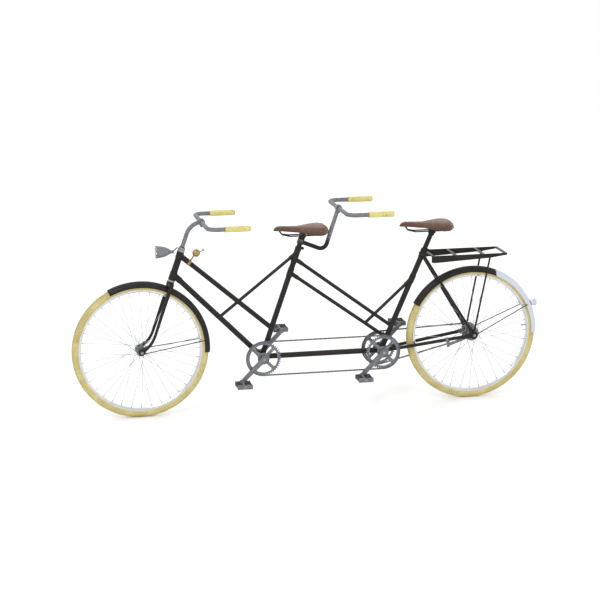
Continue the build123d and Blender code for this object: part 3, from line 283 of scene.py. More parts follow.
def guardFinish():
    # black, with the last stretch of the rear guard painted white
    material, tree, shader, place, colour, _ = newFinish("rearGuardEnamel", enamel)
    ragged = put(tree, "ShaderNodeTexNoise", {"Vector": place, "Scale": 55.0, "Detail": 4.0}).outputs["Fac"]
    across = put(tree, "ShaderNodeSeparateXYZ", {0: place}).outputs["X"]
    reach = maths(tree, "MULTIPLY_ADD", ragged, tailPaint["soft"], across)
    edge = rearHub.x + tailPaint["from"]
    white = put(tree, "ShaderNodeMapRange", {"Value": reach, "From Min": edge,
                                             "From Max": edge + 0.004}).outputs[0]
    chips = useGroup(tree, "patches", {"Vector": place, "Scale": 70.0, "Low": 0.64, "High": 0.70})[0]
    kept = maths(tree, "MULTIPLY", white, maths(tree, "SUBTRACT", 1.0, maths(tree, "MULTIPLY", chips, 0.6)))
    repaint(tree, shader, kept, colour, tailPaint["white"])
    return material


plated = {"base": (0.135, 0.142, 0.160), "tone": (0.225, 0.234, 0.258), "blotchScale": 60.0,
          "worn": (0.045, 0.045, 0.049), "wornScale": 150.0, "wornFrom": (0.55, 0.66),
          "dust": (0.12, 0.11, 0.10), "dustTop": 0.5, "dustAmount": 0.35, "rough": (0.40, 0.62),
          "grainScale": 900.0, "grainStrength": 0.22, "grainDepth": 0.0003,
          "sockets": {"Metallic": 0.5, "Specular IOR Level": 0.35}}
turned = {"base": (0.34, 0.34, 0.35), "tone": (0.24, 0.24, 0.25), "blotchScale": 60.0,
          "worn": (0.13, 0.09, 0.06), "wornScale": 150.0, "wornFrom": (0.62, 0.72), "rough": (0.25, 0.42),
          "grainScale": 1400.0, "grainStrength": 0.12, "sockets": {"Metallic": 0.9}}
oiled = {"base": (0.135, 0.139, 0.150), "tone": (0.095, 0.098, 0.104), "blotchScale": 80.0,
         "worn": (0.055, 0.048, 0.042), "wornScale": 190.0, "wornFrom": (0.60, 0.70), "rough": (0.28, 0.5),
         "grainScale": 1500.0, "grainStrength": 0.15, "sockets": {"Metallic": 0.6}}
wireSteel = {"base": (0.42, 0.43, 0.45), "tone": (0.30, 0.31, 0.33), "blotchScale": 30.0, "rough": (0.28, 0.42),
             "grainScale": 1600.0, "grainStrength": 0.08, "sockets": {"Metallic": 0.9}}
dullChrome = {"base": (0.66, 0.66, 0.67), "tone": (0.56, 0.56, 0.58), "blotchScale": 40.0,
              "worn": (0.30, 0.235, 0.17), "wornScale": 210.0, "wornFrom": (0.66, 0.74),
              "rough": (0.16, 0.34), "grainScale": 900.0, "grainStrength": 0.06, "sockets": {"Metallic": 1.0}}
cream = {"base": (0.43, 0.355, 0.140), "tone": (0.56, 0.485, 0.215), "blotchScale": 14.0,
         "worn": (0.33, 0.275, 0.120), "wornScale": 75.0, "wornFrom": (0.54, 0.70), "rough": (0.62, 0.80),
         "grainScale": 700.0, "grainStrength": 0.25, "grainDepth": 0.0005,
         "sockets": {"Specular IOR Level": 0.3}}
# the edge colour is a painted highlight: a pale ring on the tyre beside the rim; the scuff colour is real dirt
tyreMarks = {"scuff": (0.27, 0.235, 0.13), "edge": (0.66, 0.60, 0.27), "scuffFrom": 0.0035,
             "highlightWidth": 0.006}


def tyreFinish(name, hub, box):
    # a painted highlight as a pale ring beside the rim; scuffed and a little dirty on the tread
    material, tree, shader, place, colour, _ = newFinish(name, cream)
    centred = put(tree, "ShaderNodeMapping", {"Vector": place, "Location": -hub, "Scale": (1, 0, 1)}).outputs[0]
    radius = put(tree, "ShaderNodeVectorMath", {0: centred}, operation="LENGTH").outputs["Value"]
    outside = (box[1].z - box[0].z) / 2
    inside = outside - 0.034
    tread = put(tree, "ShaderNodeMapRange", {"Value": radius, "From Min": outside - tyreMarks["scuffFrom"],
                                             "From Max": outside}).outputs[0]
    patch = useGroup(tree, "patches", {"Vector": place, "Scale": 40.0, "Low": 0.38, "High": 0.62})[0]
    scuffed = maths(tree, "MULTIPLY", tread, maths(tree, "MULTIPLY", patch, 0.75))
    # painted highlight: a pale ring on the tyre just outside the rim
    near = put(tree, "ShaderNodeMapRange", {"Value": radius, "From Min": inside + tyreMarks["highlightWidth"],
                                            "From Max": inside}).outputs[0]
    colourWithPaintedHighlight = overlay(tree, near, colour, tyreMarks["edge"])
    repaint(tree, shader, scuffed, colourWithPaintedHighlight, tyreMarks["scuff"])
    return material


moulded = {"base": (0.64, 0.575, 0.205), "tone": (0.57, 0.505, 0.165), "blotchScale": 35.0,
           "worn": (0.27, 0.235, 0.115), "wornScale": 110.0, "wornFrom": (0.55, 0.68), "rough": (0.34, 0.52),
           "grainScale": 900.0, "grainStrength": 0.14,
           "sockets": {"Subsurface Weight": 0.08, "Subsurface Radius": (0.004, 0.003, 0.001)}}
hide = {"base": (0.098, 0.044, 0.027), "tone": (0.130, 0.064, 0.041), "blotchScale": 26.0,
        "worn": (0.20, 0.115, 0.075), "wornScale": 48.0, "wornFrom": (0.52, 0.72), "rough": (0.38, 0.58),
        "grainScale": 1300.0, "grainStrength": 0.10,
        "sockets": {"Coat Weight": 0.08, "Coat Roughness": 0.35, "Specular IOR Level": 0.3}}
# seat is painted light along the top of the hide; edge is painted shade down the skirt and in the creases
hideMarks = {"seat": (0.180, 0.102, 0.068), "edge": (0.055, 0.028, 0.020), "cells": 520.0}


stemSilver = {"from": 0.905, "to": 0.955, "ragged": 0.07, "metal": 0.5}


def stemFinish():
    # enamelled low down, bare plating from the bend upwards with a ragged edge
    material, tree, shader, place, colour, _ = newFinish("stokerStemEnamel", enamel)
    height = put(tree, "ShaderNodeSeparateXYZ", {0: place}).outputs["Z"]
    ragged = put(tree, "ShaderNodeTexNoise", {"Vector": place, "Scale": 60.0, "Detail": 5.0}).outputs["Fac"]
    level = maths(tree, "MULTIPLY_ADD", ragged, stemSilver["ragged"], height)
    bare = put(tree, "ShaderNodeMapRange", {"Value": level, "From Min": stemSilver["from"],
                                            "From Max": stemSilver["to"]}).outputs[0]
    blotch = useGroup(tree, "patches", {"Vector": place, "Scale": 60.0, "Low": 0.35, "High": 0.65})[0]
    silver = overlay(tree, blotch, plated["base"], plated["tone"])
    repaint(tree, shader, bare, colour, silver)
    tree.links.new(maths(tree, "MULTIPLY", bare, stemSilver["metal"]), shader.inputs["Metallic"])
    return material


def hideFinish():
    # painted light along the top, painted shade down the skirt to nearly black at the hem, painted shade in the
    # creases, creased all over
    material, tree, shader, place, colour, normal = newFinish("saddleHide", hide)
    skirt = put(tree, "ShaderNodeAttribute", attribute_name="skirt").outputs["Fac"]
    # the seat mask carries the painted light along the top
    seat = put(tree, "ShaderNodeMapRange", {"Value": skirt, "From Min": 0.45, "From Max": 0.0}).outputs[0]
    # the edge mask carries the painted shade down the skirt towards the hem
    edge = put(tree, "ShaderNodeMapRange", {"Value": skirt, "From Min": 0.55, "From Max": 1.0}).outputs[0]
    creases = useGroup(tree, "creases", {"Vector": place, "Scale": hideMarks["cells"]})
    paintedLightOnTop = overlay(tree, maths(tree, "MULTIPLY", seat, 0.7), colour, hideMarks["seat"])
    paintedLightAndShade = overlay(tree, edge, paintedLightOnTop, hideMarks["edge"])
    # painted shade darkens the creases
    repaint(tree, shader, maths(tree, "MULTIPLY", creases["Crease"], 0.45), paintedLightAndShade, hideMarks["edge"])
    tree.links.new(bump(tree, creases["Height"], 0.35, 0.0005, normal), shader.inputs["Normal"])
    return material


brassy = {"base": (0.42, 0.285, 0.130), "tone": (0.30, 0.195, 0.085), "blotchScale": 55.0,
          "worn": (0.085, 0.055, 0.030), "wornScale": 95.0, "wornFrom": (0.54, 0.66), "rough": (0.22, 0.42),
          "grainScale": 1100.0, "grainStrength": 0.10, "sockets": {"Metallic": 0.9}}
lampPaint = {"base": (0.150, 0.156, 0.175), "tone": (0.20, 0.208, 0.225), "blotchScale": 60.0,
             "worn": (0.07, 0.066, 0.064), "wornScale": 200.0, "wornFrom": (0.62, 0.70), "rough": (0.30, 0.48),
             "grainScale": 320.0, "grainStrength": 0.35, "grainDepth": 0.0008, "sockets": {"Metallic": 0.35}}
mirrorCoat = {"base": (0.86, 0.86, 0.87), "tone": (0.80, 0.80, 0.82), "blotchScale": 70.0,
              "rough": (0.06, 0.14),
              "grainScale": 400.0, "grainStrength": 0.05, "sockets": {"Metallic": 1.0}}
lampGlass = {"base": (0.96, 0.975, 0.97), "tone": (0.93, 0.95, 0.95), "blotchScale": 30.0,
             "rough": (0.03, 0.09),
             "grainScale": 500.0, "grainStrength": 0.04, "sockets": {"Transmission Weight": 0.92, "IOR": 1.48}}
blackRubber = {"base": (0.018, 0.018, 0.019), "tone": (0.030, 0.029, 0.028), "blotchScale": 50.0,
               "worn": (0.10, 0.095, 0.088), "wornScale": 160.0, "wornFrom": (0.58, 0.72),
               "rough": (0.60, 0.82), "grainScale": 900.0, "grainStrength": 0.3, "grainDepth": 0.0005}
paleShell = {"base": (0.56, 0.60, 0.67), "tone": (0.47, 0.50, 0.56), "blotchScale": 60.0,
             "worn": (0.20, 0.19, 0.18), "wornScale": 150.0, "wornFrom": (0.62, 0.72), "rough": (0.30, 0.45),
             "grainScale": 700.0, "grainStrength": 0.12, "sockets": {"Coat Weight": 0.3}}
redLens = {"base": (0.34, 0.012, 0.010), "tone": (0.26, 0.008, 0.008), "blotchScale": 40.0,
           "rough": (0.08, 0.16),
           "grainScale": 500.0, "grainStrength": 0.05, "sockets": {"Coat Weight": 0.6}}

finishes = {name: newFinish(name, look)[0] for name, look in (
    ("frameEnamel", enamel), ("platedSteel", plated), ("turnedSteel", turned), ("oiledChain", oiled),
    ("spokeWire", wireSteel), ("rimChrome", dullChrome), ("creamGrip", moulded), ("agedBrass", brassy),
    ("lampEnamel", lampPaint), ("silveredBowl", mirrorCoat), ("clearGlass", lampGlass),
    ("blockRubber", blackRubber), ("paleHousing", paleShell), ("redLens", redLens))}
finishes["rearGuardEnamel"] = guardFinish()
finishes["stokerStemEnamel"] = stemFinish()
finishes["saddleHide"] = hideFinish()
print("finishes ready")

nodeFinish = {
    "platedSteel": ["front_hub_shell", "rear_hub_shell", "rear_sprocket", "front_crank_arms", "rear_crank_arms",
                    "front_chain_rings", "rear_chain_rings", "brake_reaction_arm", "handlebar_stem",
                    "front_handlebar", "stoker_handlebar", "headlamp_bracket", "bell_lever"],
    "turnedSteel": ["front_crank_spindles", "rear_crank_spindles", "bearing_cups", "headset_races", "front_axle",
                    "rear_axle"],
    "rimChrome": ["front_rim", "rear_rim"],
    "agedBrass": ["bell"],
    "lampEnamel": ["headlamp_shell"],
    "paleHousing": ["tail_lamp"],
    "rearGuardEnamel": ["rear_mudguard"],
    "stokerStemEnamel": ["stoker_stem"],
}


def finishNodes():
    chosen = {node: finish for finish, nodes in nodeFinish.items() for node in nodes}
    for name, piece in frame["nodes"].items():
        piece.data.materials.clear()
        piece.data.materials.append(finishes[chosen.get(name, "frameEnamel")])


finishNodes()
print("finishes on the carried-over nodes")


# mesh tools
def newMesh(build):
    # build fills a bmesh; doubles are merged and faces turned outwards
    made = bmesh.new()
    build(made)
    bmesh.ops.remove_doubles(made, verts=made.verts, dist=1e-6)
    bmesh.ops.recalc_face_normals(made, faces=made.faces)
    mesh = bpy.data.meshes.new("mesh")
    made.to_mesh(mesh)
    made.free()
    return mesh


def smooth(mesh, angle=35):
    mesh.shade_smooth()
    mesh.set_sharp_from_angle(angle=radians(angle))


def newPiece(name, mesh, finish, body, replaced=()):
    piece = bpy.data.objects.new(name, mesh)
    scene.collection.objects.link(piece)
    if finish:
        mesh.materials.clear()
        mesh.materials.append(finish)
    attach(piece, body)
    if replaced:
        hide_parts(*replaced)
    return piece


def lathe(made, profile, centre, axis, steps, closed=True):
    # profile is (radius, distance along the axis) from the centre
    axis = Vector(axis).normalized()
    side = axis.orthogonal().normalized()
    across = axis.cross(side)
    rings = []
    for step in range(steps):
        angle = 2 * pi * step / steps
        outward = side * cos(angle) + across * sin(angle)
        rings.append([made.verts.new(centre + outward * r + axis * a) for r, a in profile])
    count = len(profile)
    for step in range(steps):
        here, after = rings[step], rings[(step + 1) % steps]
        for k in range(count if closed else count - 1):
            made.faces.new((here[k], here[(k + 1) % count], after[(k + 1) % count], after[k]))


def latheMesh(profile, centre, axis, steps, closed=True):
    mesh = newMesh(lambda made: lathe(made, profile, centre, axis, steps, closed))
    smooth(mesh)
    return mesh


def block(made, centre, size, bevel=0.0, spin=0.0, segments=2):
    # a box with rounded edges, turned about Y
    spot = Matrix.Translation(centre) @ Matrix.Rotation(spin, 4, "Y") @ Matrix.Diagonal((*size, 1))
    found = bmesh.ops.create_cube(made, size=1.0, matrix=spot)["verts"]
    if bevel:
        edges = list({edge for vert in found for edge in vert.link_edges})
        bmesh.ops.bevel(made, geom=edges, offset=bevel, segments=segments, affect="EDGES", profile=0.6)


def tube(made, path, radii, sides=8):
    # a closed round bar along a list of points
    path = [Vector(point) for point in path]
    rings = []
    for k, point in enumerate(path):
        ahead = (path[min(k + 1, len(path) - 1)] - path[max(k - 1, 0)]).normalized()
        side = ahead.cross(Vector((0.13, 0.31, 0.94))).normalized()
        across = ahead.cross(side)
        rings.append([made.verts.new(point + (side * cos(2 * pi * n / sides) + across * sin(2 * pi * n / sides))
                                     * radii[k]) for n in range(sides)])
    for here, after in zip(rings, rings[1:]):
        for n in range(sides):
            made.faces.new((here[n], here[(n + 1) % sides], after[(n + 1) % sides], after[n]))
    made.faces.new(rings[0])
    made.faces.new(rings[-1])


# geometry node trees for what repeats
def endTree(tree, instances, given, result):
    real = put(tree, "GeometryNodeRealizeInstances", {0: instances}).outputs[0]
    coated = put(tree, "GeometryNodeSetMaterial", {"Geometry": real, "Material": given["Finish"]}).outputs[0]
    tree.links.new(coated, result.inputs[0])


def itemOf(tree, socket):
    return put(tree, "GeometryNodeObjectInfo", {"Object": socket}).outputs["Geometry"]


def ringTree():
    # an item repeated round a hub's cross axis; the item's X points outwards
    tree, given, result = newGroup("itemsRoundHub", "GeometryNodeTree",
                                   [("Geometry", "Geometry"), ("Item", "Object"), ("Count", "Int"),
                                    ("Radius", "Float"), ("Centre", "Vector"), ("Start", "Float"),
                                    ("Finish", "Material")], [("Geometry", "Geometry")])
    points = put(tree, "GeometryNodePoints", {"Count": given["Count"]}).outputs[0]
    index = put(tree, "GeometryNodeInputIndex").outputs[0]
    step = maths(tree, "DIVIDE", 2 * pi, given["Count"])
    angle = maths(tree, "MULTIPLY_ADD", index, step, given["Start"])
    x = maths(tree, "MULTIPLY", maths(tree, "COSINE", angle), given["Radius"])
    z = maths(tree, "MULTIPLY", maths(tree, "SINE", angle), given["Radius"])
    away = put(tree, "ShaderNodeCombineXYZ", {0: x, 2: z}).outputs[0]
    place = put(tree, "ShaderNodeVectorMath", {0: away, 1: given["Centre"]}, operation="ADD").outputs[0]
    placed = put(tree, "GeometryNodeSetPosition", {"Geometry": points, "Position": place}).outputs[0]
    turn = put(tree, "ShaderNodeCombineXYZ", {1: maths(tree, "MULTIPLY", angle, -1.0)}).outputs[0]
    spread = put(tree, "GeometryNodeInstanceOnPoints",
                 {"Points": placed, "Instance": itemOf(tree, given["Item"]), "Rotation": turn}).outputs[0]
    endTree(tree, spread, given, result)
    return tree


def rowTree():
    # an item repeated in a straight row
    tree, given, result = newGroup("itemsInRow", "GeometryNodeTree",
                                   [("Geometry", "Geometry"), ("Item", "Object"), ("Count", "Int"),
                                    ("First", "Vector"), ("Step", "Vector"), ("Finish", "Material")],
                                   [("Geometry", "Geometry")])
    row = put(tree, "GeometryNodeMeshLine",
              {"Count": given["Count"], "Start Location": given["First"], "Offset": given["Step"]}).outputs[0]
    spread = put(tree, "GeometryNodeInstanceOnPoints", {"Points": row, "Instance": itemOf(tree, given["Item"])})
    endTree(tree, spread.outputs[0], given, result)
    return tree


def spotTree():
    # an item on each vertex of a mesh of places
    tree, given, result = newGroup("itemsOnSpots", "GeometryNodeTree",
                                   [("Geometry", "Geometry"), ("Item", "Object"), ("Spots", "Object"),
                                    ("Finish", "Material")], [("Geometry", "Geometry")])
    spread = put(tree, "GeometryNodeInstanceOnPoints",
                 {"Points": itemOf(tree, given["Spots"]), "Instance": itemOf(tree, given["Item"])}).outputs[0]
    endTree(tree, spread, given, result)
    return tree


def chainTree():
    # outer and inner links by turns along a closed path, each square to the path between two pins
    tree, given, result = newGroup("linksAlongPath", "GeometryNodeTree",
                                   [("Geometry", "Geometry"), ("Path", "Object"), ("Outer Link", "Object"),
                                    ("Inner Link", "Object"), ("Count", "Int"), ("Finish", "Material")],
                                   [("Geometry", "Geometry")])
    points = put(tree, "GeometryNodePoints", {"Count": given["Count"]}).outputs[0]
    index = put(tree, "GeometryNodeInputIndex").outputs[0]
    middle = maths(tree, "DIVIDE", maths(tree, "ADD", index, 0.5), given["Count"])
    sample = put(tree, "GeometryNodeSampleCurve", {"Curves": itemOf(tree, given["Path"]), "Factor": middle},
                 mode="FACTOR")
    placed = put(tree, "GeometryNodeSetPosition", {"Geometry": points, "Position": sample.outputs["Position"]})
    aim = put(tree, "FunctionNodeAlignRotationToVector", {"Vector": sample.outputs["Tangent"]}, axis="X",
              pivot_axis="Y").outputs[0]
    both = put(tree, "GeometryNodeJoinGeometry")
    for label in ("Outer Link", "Inner Link"):
        single = put(tree, "GeometryNodeGeometryToInstance", {0: itemOf(tree, given[label])}).outputs[0]
        tree.links.new(single, both.inputs[0])
    odd = maths(tree, "MODULO", index, 2.0)
    spread = put(tree, "GeometryNodeInstanceOnPoints",
                 {"Points": placed.outputs[0], "Instance": both.outputs[0], "Pick Instance": True,
                  "Instance Index": odd, "Rotation": aim}).outputs[0]
    endTree(tree, spread, given, result)
    return tree


trees = {"ring": ringTree(), "row": rowTree(), "spots": spotTree(), "chain": chainTree()}


def helper(mesh):
    # a piece that a tree copies, gone from the scene once the tree has run
    made = bpy.data.objects.new("helper", mesh)
    scene.collection.objects.link(made)
    return made


def grow(name, treeName, values, body, replaced=()):
    # runs a tree once and keeps its result as a plain mesh
    holder = bpy.data.objects.new("holder", bpy.data.meshes.new("blank"))
    modifier = holder.modifiers.new("build", "NODES")
    modifier.node_group = trees[treeName]
    for item in trees[treeName].interface.items_tree:
        if item.in_out == "INPUT" and item.name in values:
            modifier[item.identifier] = values[item.name]
    scene.collection.objects.link(holder)
    graph = bpy.context.evaluated_depsgraph_get()
    mesh = bpy.data.meshes.new_from_object(holder.evaluated_get(graph))
    bpy.data.objects.remove(holder)
    for value in values.values():
        if isinstance(value, bpy.types.Object) and value.name.startswith("helper"):
            bpy.data.objects.remove(value)
    smooth(mesh)
    piece = newPiece(name, mesh, None, body, replaced)
    print(name, len(mesh.polygons), "faces")
    return piece


# tyres: a ribbed cover with file-cut tread blocks, and the valve
tyre = {"neck": 0.0140, "seatDepth": 0.0397, "shoulderDepth": 0.033, "casing": 0.0032, "treadHalf": 0.0125,
        "treadCut": 0.0013, "blocks": 132, "steps": 180, "arcPoints": 30, "sideRib": 0.0006,
        "ribAngles": (58, 66, 118)}
valve = {"angle": 5.0, "stem": 0.0030, "top": 0.0465, "reach": 0.0775}


def tyreProfile(outside):
    shoulder = outside - tyre["shoulderDepth"]
    centre = (shoulder + outside) / 2 - tyre["neck"] ** 2 / (2 * tyre["shoulderDepth"])
    round_ = outside - centre
    open_ = acos((shoulder - centre) / round_)
    outer = []
    for k in range(tyre["arcPoints"] * 2 + 1):
        angle = open_ * (k / tyre["arcPoints"] - 1)
        near = min(abs(abs(angle) - radians(rib)) for rib in tyre["ribAngles"])
        swell = tyre["sideRib"] * max(0.0, 1 - near / 0.05)
        r = centre + (round_ + swell) * cos(angle)
        y = (round_ + swell) * sin(angle)
        if abs(y) < tyre["treadHalf"]:
            r = min(r, outside - tyre["treadCut"])
        outer.append((r, y))
    inner = [(centre + (round_ - tyre["casing"]) * cos(a), (round_ - tyre["casing"]) * sin(a))
             for a in [(open_ - 0.12) * (1 - k / 8) for k in range(17)]]
    seat = outside - tyre["seatDepth"]
    left, right = (seat, -tyre["neck"]), (seat, tyre["neck"])
    return [left] + outer + [right, (seat, 0.0095)] + inner + [(seat, -0.0095)]


def treadItem():
    def build(made):
        deep = tyre["treadCut"] + 0.001
        x = -deep / 2 - 0.0001
        block(made, Vector((x, 0, 0)), (deep, 0.0055, 0.0118), 0.0005, segments=1)
        for side in (-1, 1):
            block(made, Vector((x - 0.0004, side * 0.0068, 0.0030)), (deep, 0.0050, 0.0090), 0.0005,
                  segments=1)
            block(made, Vector((x - 0.0016, side * 0.0112, -0.0030)), (deep, 0.0032, 0.0060), 0.0004,
                  segments=1)
    return newMesh(build)


def makeTyre(name, hub, node, body):
    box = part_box(node)
    outside = (box[1].z - box[0].z) / 2
    finish = tyreFinish(name + "Rubber", hub, box)
    cover = latheMesh(tyreProfile(outside), hub, (0, 1, 0), tyre["steps"])
    newPiece(name + "Cover", cover, finish, body, [node])
    grow(name + "Tread", "ring", {"Item": helper(treadItem()), "Count": tyre["blocks"], "Radius": outside,
                                  "Centre": hub, "Start": 0.0, "Finish": finish}, body)
    inward = -Vector((cos(radians(valve["angle"])), 0, sin(radians(valve["angle"]))))
    top = hub - inward * (outside - valve["top"] + 0.012)
    stem, last = valve["stem"], valve["reach"] - valve["top"] + 0.006
    profile = [(0.0001, 0), (stem, 0), (stem, 0.010), (stem * 1.9, 0.0102), (stem * 1.9, 0.0135), (stem, 0.0137),
               (stem, last * 0.62), (stem * 1.25, last * 0.64), (stem * 1.25, last - 0.002), (stem * 0.9, last),
               (0.0001, last)]
    newPiece(name + "Valve", latheMesh(profile, top, inward, 14), finishes["turnedSteel"], body)


makeTyre("frontTyre", frontHub, "front_tyre", "front_wheel")
makeTyre("rearTyre", rearHub, "rear_tyre", "rear_wheel")
print("tyres made")


# spokes: each with a head, an elbow through the flange and a nipple
spokeSet = {"count": 36, "crossings": 3, "wire": 0.0010, "nipple": 0.0020, "nippleLength": 0.013,
            "rimGap": 0.0470, "flangeHalf": 0.0015}
flanges = {"front": (0.0200, 0.0300), "rear": (0.0340, 0.0250)}


def polar(radius, angle, y):
    return Vector((radius * cos(radians(angle)), y, radius * sin(radians(angle))))


def spokeItem(flangeRadius, flangeY, rimRadius):
    # the four spokes that repeat round the hub
    step = 720 / spokeSet["count"]
    wire = spokeSet["wire"]

    def build(made):
        for side in (-1, 1):
            for lead in (-1, 1):
                rimAngle = (0 if lead > 0 else step) + (step / 2 if side > 0 else 0)
                hubAngle = rimAngle - lead * spokeSet["crossings"] * step
                face = spokeSet["flangeHalf"] + wire
                near = side * (flangeY + lead * (face + 0.0002))
                far = side * (flangeY - lead * (spokeSet["flangeHalf"] + 0.0008))
                start, end = polar(flangeRadius, hubAngle, near), polar(rimRadius, rimAngle, side * 0.002)
                run = (end - start).normalized()
                neck = end - run * spokeSet["nippleLength"]
                head = polar(flangeRadius, hubAngle, far)
                inside = polar(flangeRadius, hubAngle, side * flangeY)
                tube(made, [head, head.lerp(inside, 0.45), inside, start, start + run * 0.004, neck],
                     [wire * 2.0, wire * 1.5, wire, wire, wire, wire], 6)
                tube(made, [neck, neck + run * 0.001, end - run * 0.003, end],
                     [wire * 1.4, spokeSet["nipple"], spokeSet["nipple"], spokeSet["nipple"] * 1.3], 6)
    return newMesh(build)


def makeSpokes(name, hub, node, body, tyreNode):
    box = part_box(tyreNode)
    rimRadius = (box[1].z - box[0].z) / 2 - spokeSet["rimGap"]
    item = helper(spokeItem(*flanges[name], rimRadius))
    grow(name + "Spokes", "ring", {"Item": item, "Count": spokeSet["count"] // 4, "Radius": 0.0, "Centre": hub,
                                   "Start": 0.0, "Finish": finishes["spokeWire"]}, body, [node])


makeSpokes("front", frontHub, "front_spokes", "front_wheel", "front_tyre")
makeSpokes("rear", rearHub, "rear_spokes", "rear_wheel", "rear_tyre")
print("wheels laced")


# chains, and the teeth of the rings that they run on
chain = {"pitch": 0.0127, "plateHalf": 0.0041, "waist": 0.0029, "plate": 0.0010, "innerY": 0.0021,
         "outerY": 0.0032, "roller": 0.0039, "pin": 0.0018, "arcPoints": 60}
ringTeeth, sprocketTeeth, timingLinks, driveLinks = 44, 20, 144, 110
tooth = {"depth": 0.0046, "height": 0.0036, "thick": 0.0024, "base": 0.0078, "tip": 0.0030}


def pitchRadius(teeth):
    return chain["pitch"] / (2 * sin(pi / teeth))


def loopPath(a, radiusA, b, radiusB, y):
    # a closed path round two circles, from the top of the first towards the second
    away = b - a
    lean, turn = atan2(away.z, away.x), acos((radiusA - radiusB) / hypot(away.x, away.z))
    count = chain["arcPoints"]
    points = []
    for k in range(count + 1):
        angle = lean + turn - 2 * turn * k / count
        points.append((b.x + radiusB * cos(angle), y, b.z + radiusB * sin(angle)))
    for k in range(count + 1):
        angle = lean - turn - (2 * pi - 2 * turn) * k / count
        points.append((a.x + radiusA * cos(angle), y, a.z + radiusA * sin(angle)))
    curve = bpy.data.curves.new("path", "CURVE")
    curve.dimensions = "3D"
    spline = curve.splines.new("POLY")
    spline.points.add(len(points) - 1)
    start = points[-1:] + points[:-1]
    for point, place in zip(spline.points, start):
        point.co = (*place, 1)
    spline.use_cyclic_u = True
    return helper(curve), lean + turn


def linkPlate(made, y, thick):
    half, waist, reach = chain["plateHalf"], chain["waist"], chain["pitch"] / 2
    outline = [(reach + half * cos(a), half * sin(a)) for a in [radians(-125 + 50 * k) for k in range(6)]]
    outline += [(0, waist)]
    outline += [(-reach - half * cos(a), half * sin(a)) for a in [radians(125 - 50 * k) for k in range(6)]]
    outline += [(0, -waist)]
    sides = [[made.verts.new((x, y + offset, z)) for x, z in outline] for offset in (-thick / 2, thick / 2)]
    made.faces.new(sides[0])
    made.faces.new(sides[1])
    for k in range(len(outline)):
        after = (k + 1) % len(outline)
        made.faces.new((sides[0][k], sides[0][after], sides[1][after], sides[1][k]))


def linkMesh(inner):
    def build(made):
        y = chain["innerY"] if inner else chain["outerY"]
        for side in (-1, 1):
            linkPlate(made, side * y, chain["plate"])
            x = side * chain["pitch"] / 2
            outer = (chain["outerY"] + 0.0010, chain["pin"])
            reach, radius = (chain["innerY"], chain["roller"]) if inner else outer
            tube(made, [(x, -reach, 0), (x, reach, 0)], [radius, radius], 10 if inner else 8)
    return newMesh(build)


def makeChain(name, a, teethA, b, teethB, links, node):
    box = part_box(node)
    y = (box[0].y + box[1].y) / 2
    path, topAngle = loopPath(a, pitchRadius(teethA), b, pitchRadius(teethB), y)
    grow(name, "chain", {"Path": path, "Outer Link": helper(linkMesh(False)), "Inner Link": helper(linkMesh(True)),
                         "Count": links, "Finish": finishes["oiledChain"]}, "frame", [node])
    return topAngle, y


def toothItem():
    def build(made):
        deep, high, thick = tooth["depth"], tooth["height"], tooth["thick"] / 2
        base, tip = tooth["base"] / 2, tooth["tip"] / 2
        outline = [(-deep, -base), (-0.0008, -base * 0.62), (high * 0.8, -tip), (high, -tip * 0.45),
                   (high, tip * 0.45), (high * 0.8, tip), (-0.0008, base * 0.62), (-deep, base)]
        sides = [[made.verts.new((x, y * (0.5 if x > high * 0.7 else 1), z)) for x, z in outline]
                 for y in (-thick, thick)]
        made.faces.new(sides[0])
        made.faces.new(sides[1])
        for k in range(len(outline)):
            after = (k + 1) % len(outline)
            made.faces.new((sides[0][k], sides[0][after], sides[1][after], sides[1][k]))
    return newMesh(build)


def makeTeeth(name, centre, y, teeth, pinAngle, body):
    grow(name, "ring", {"Item": helper(toothItem()), "Count": teeth, "Radius": pitchRadius(teeth),
                        "Centre": Vector((centre.x, y, centre.z)), "Start": pinAngle + pi / teeth,
                        "Finish": finishes["platedSteel"]}, body)


timingTop, timingY = makeChain("timingChainLinks", frontBracket, ringTeeth, rearBracket, ringTeeth, timingLinks,
                               "timing_chain")
driveTop, driveY = makeChain("driveChainLinks", rearBracket, ringTeeth, rearHub, sprocketTeeth, driveLinks,
                             "drive_chain")
makeTeeth("frontTimingTeeth", frontBracket, timingY, ringTeeth, timingTop, "front_crankset")
makeTeeth("rearTimingTeeth", rearBracket, timingY, ringTeeth, timingTop, "rear_crankset")
makeTeeth("rearDriveTeeth", rearBracket, driveY, ringTeeth, driveTop, "rear_crankset")
radiusDrop = pitchRadius(ringTeeth) - pitchRadius(sprocketTeeth)
straight = ((rearHub - rearBracket).length ** 2 - radiusDrop ** 2) ** 0.5
overrun = ceil(straight / chain["pitch"]) * chain["pitch"] - straight
makeTeeth("sprocketTeeth", rearHub, driveY, sprocketTeeth, driveTop - overrun / pitchRadius(sprocketTeeth),
          "hub_driver")
print("chains and teeth made")


# grips: a moulded sleeve with a flange, ribs and a rounded end
grip = {"radius": 0.0146, "rib": 0.0012, "ribStep": 0.0050, "flange": 0.0160, "flangeThick": 0.004, "hole": 0.0112,
        "endRound": 0.006}


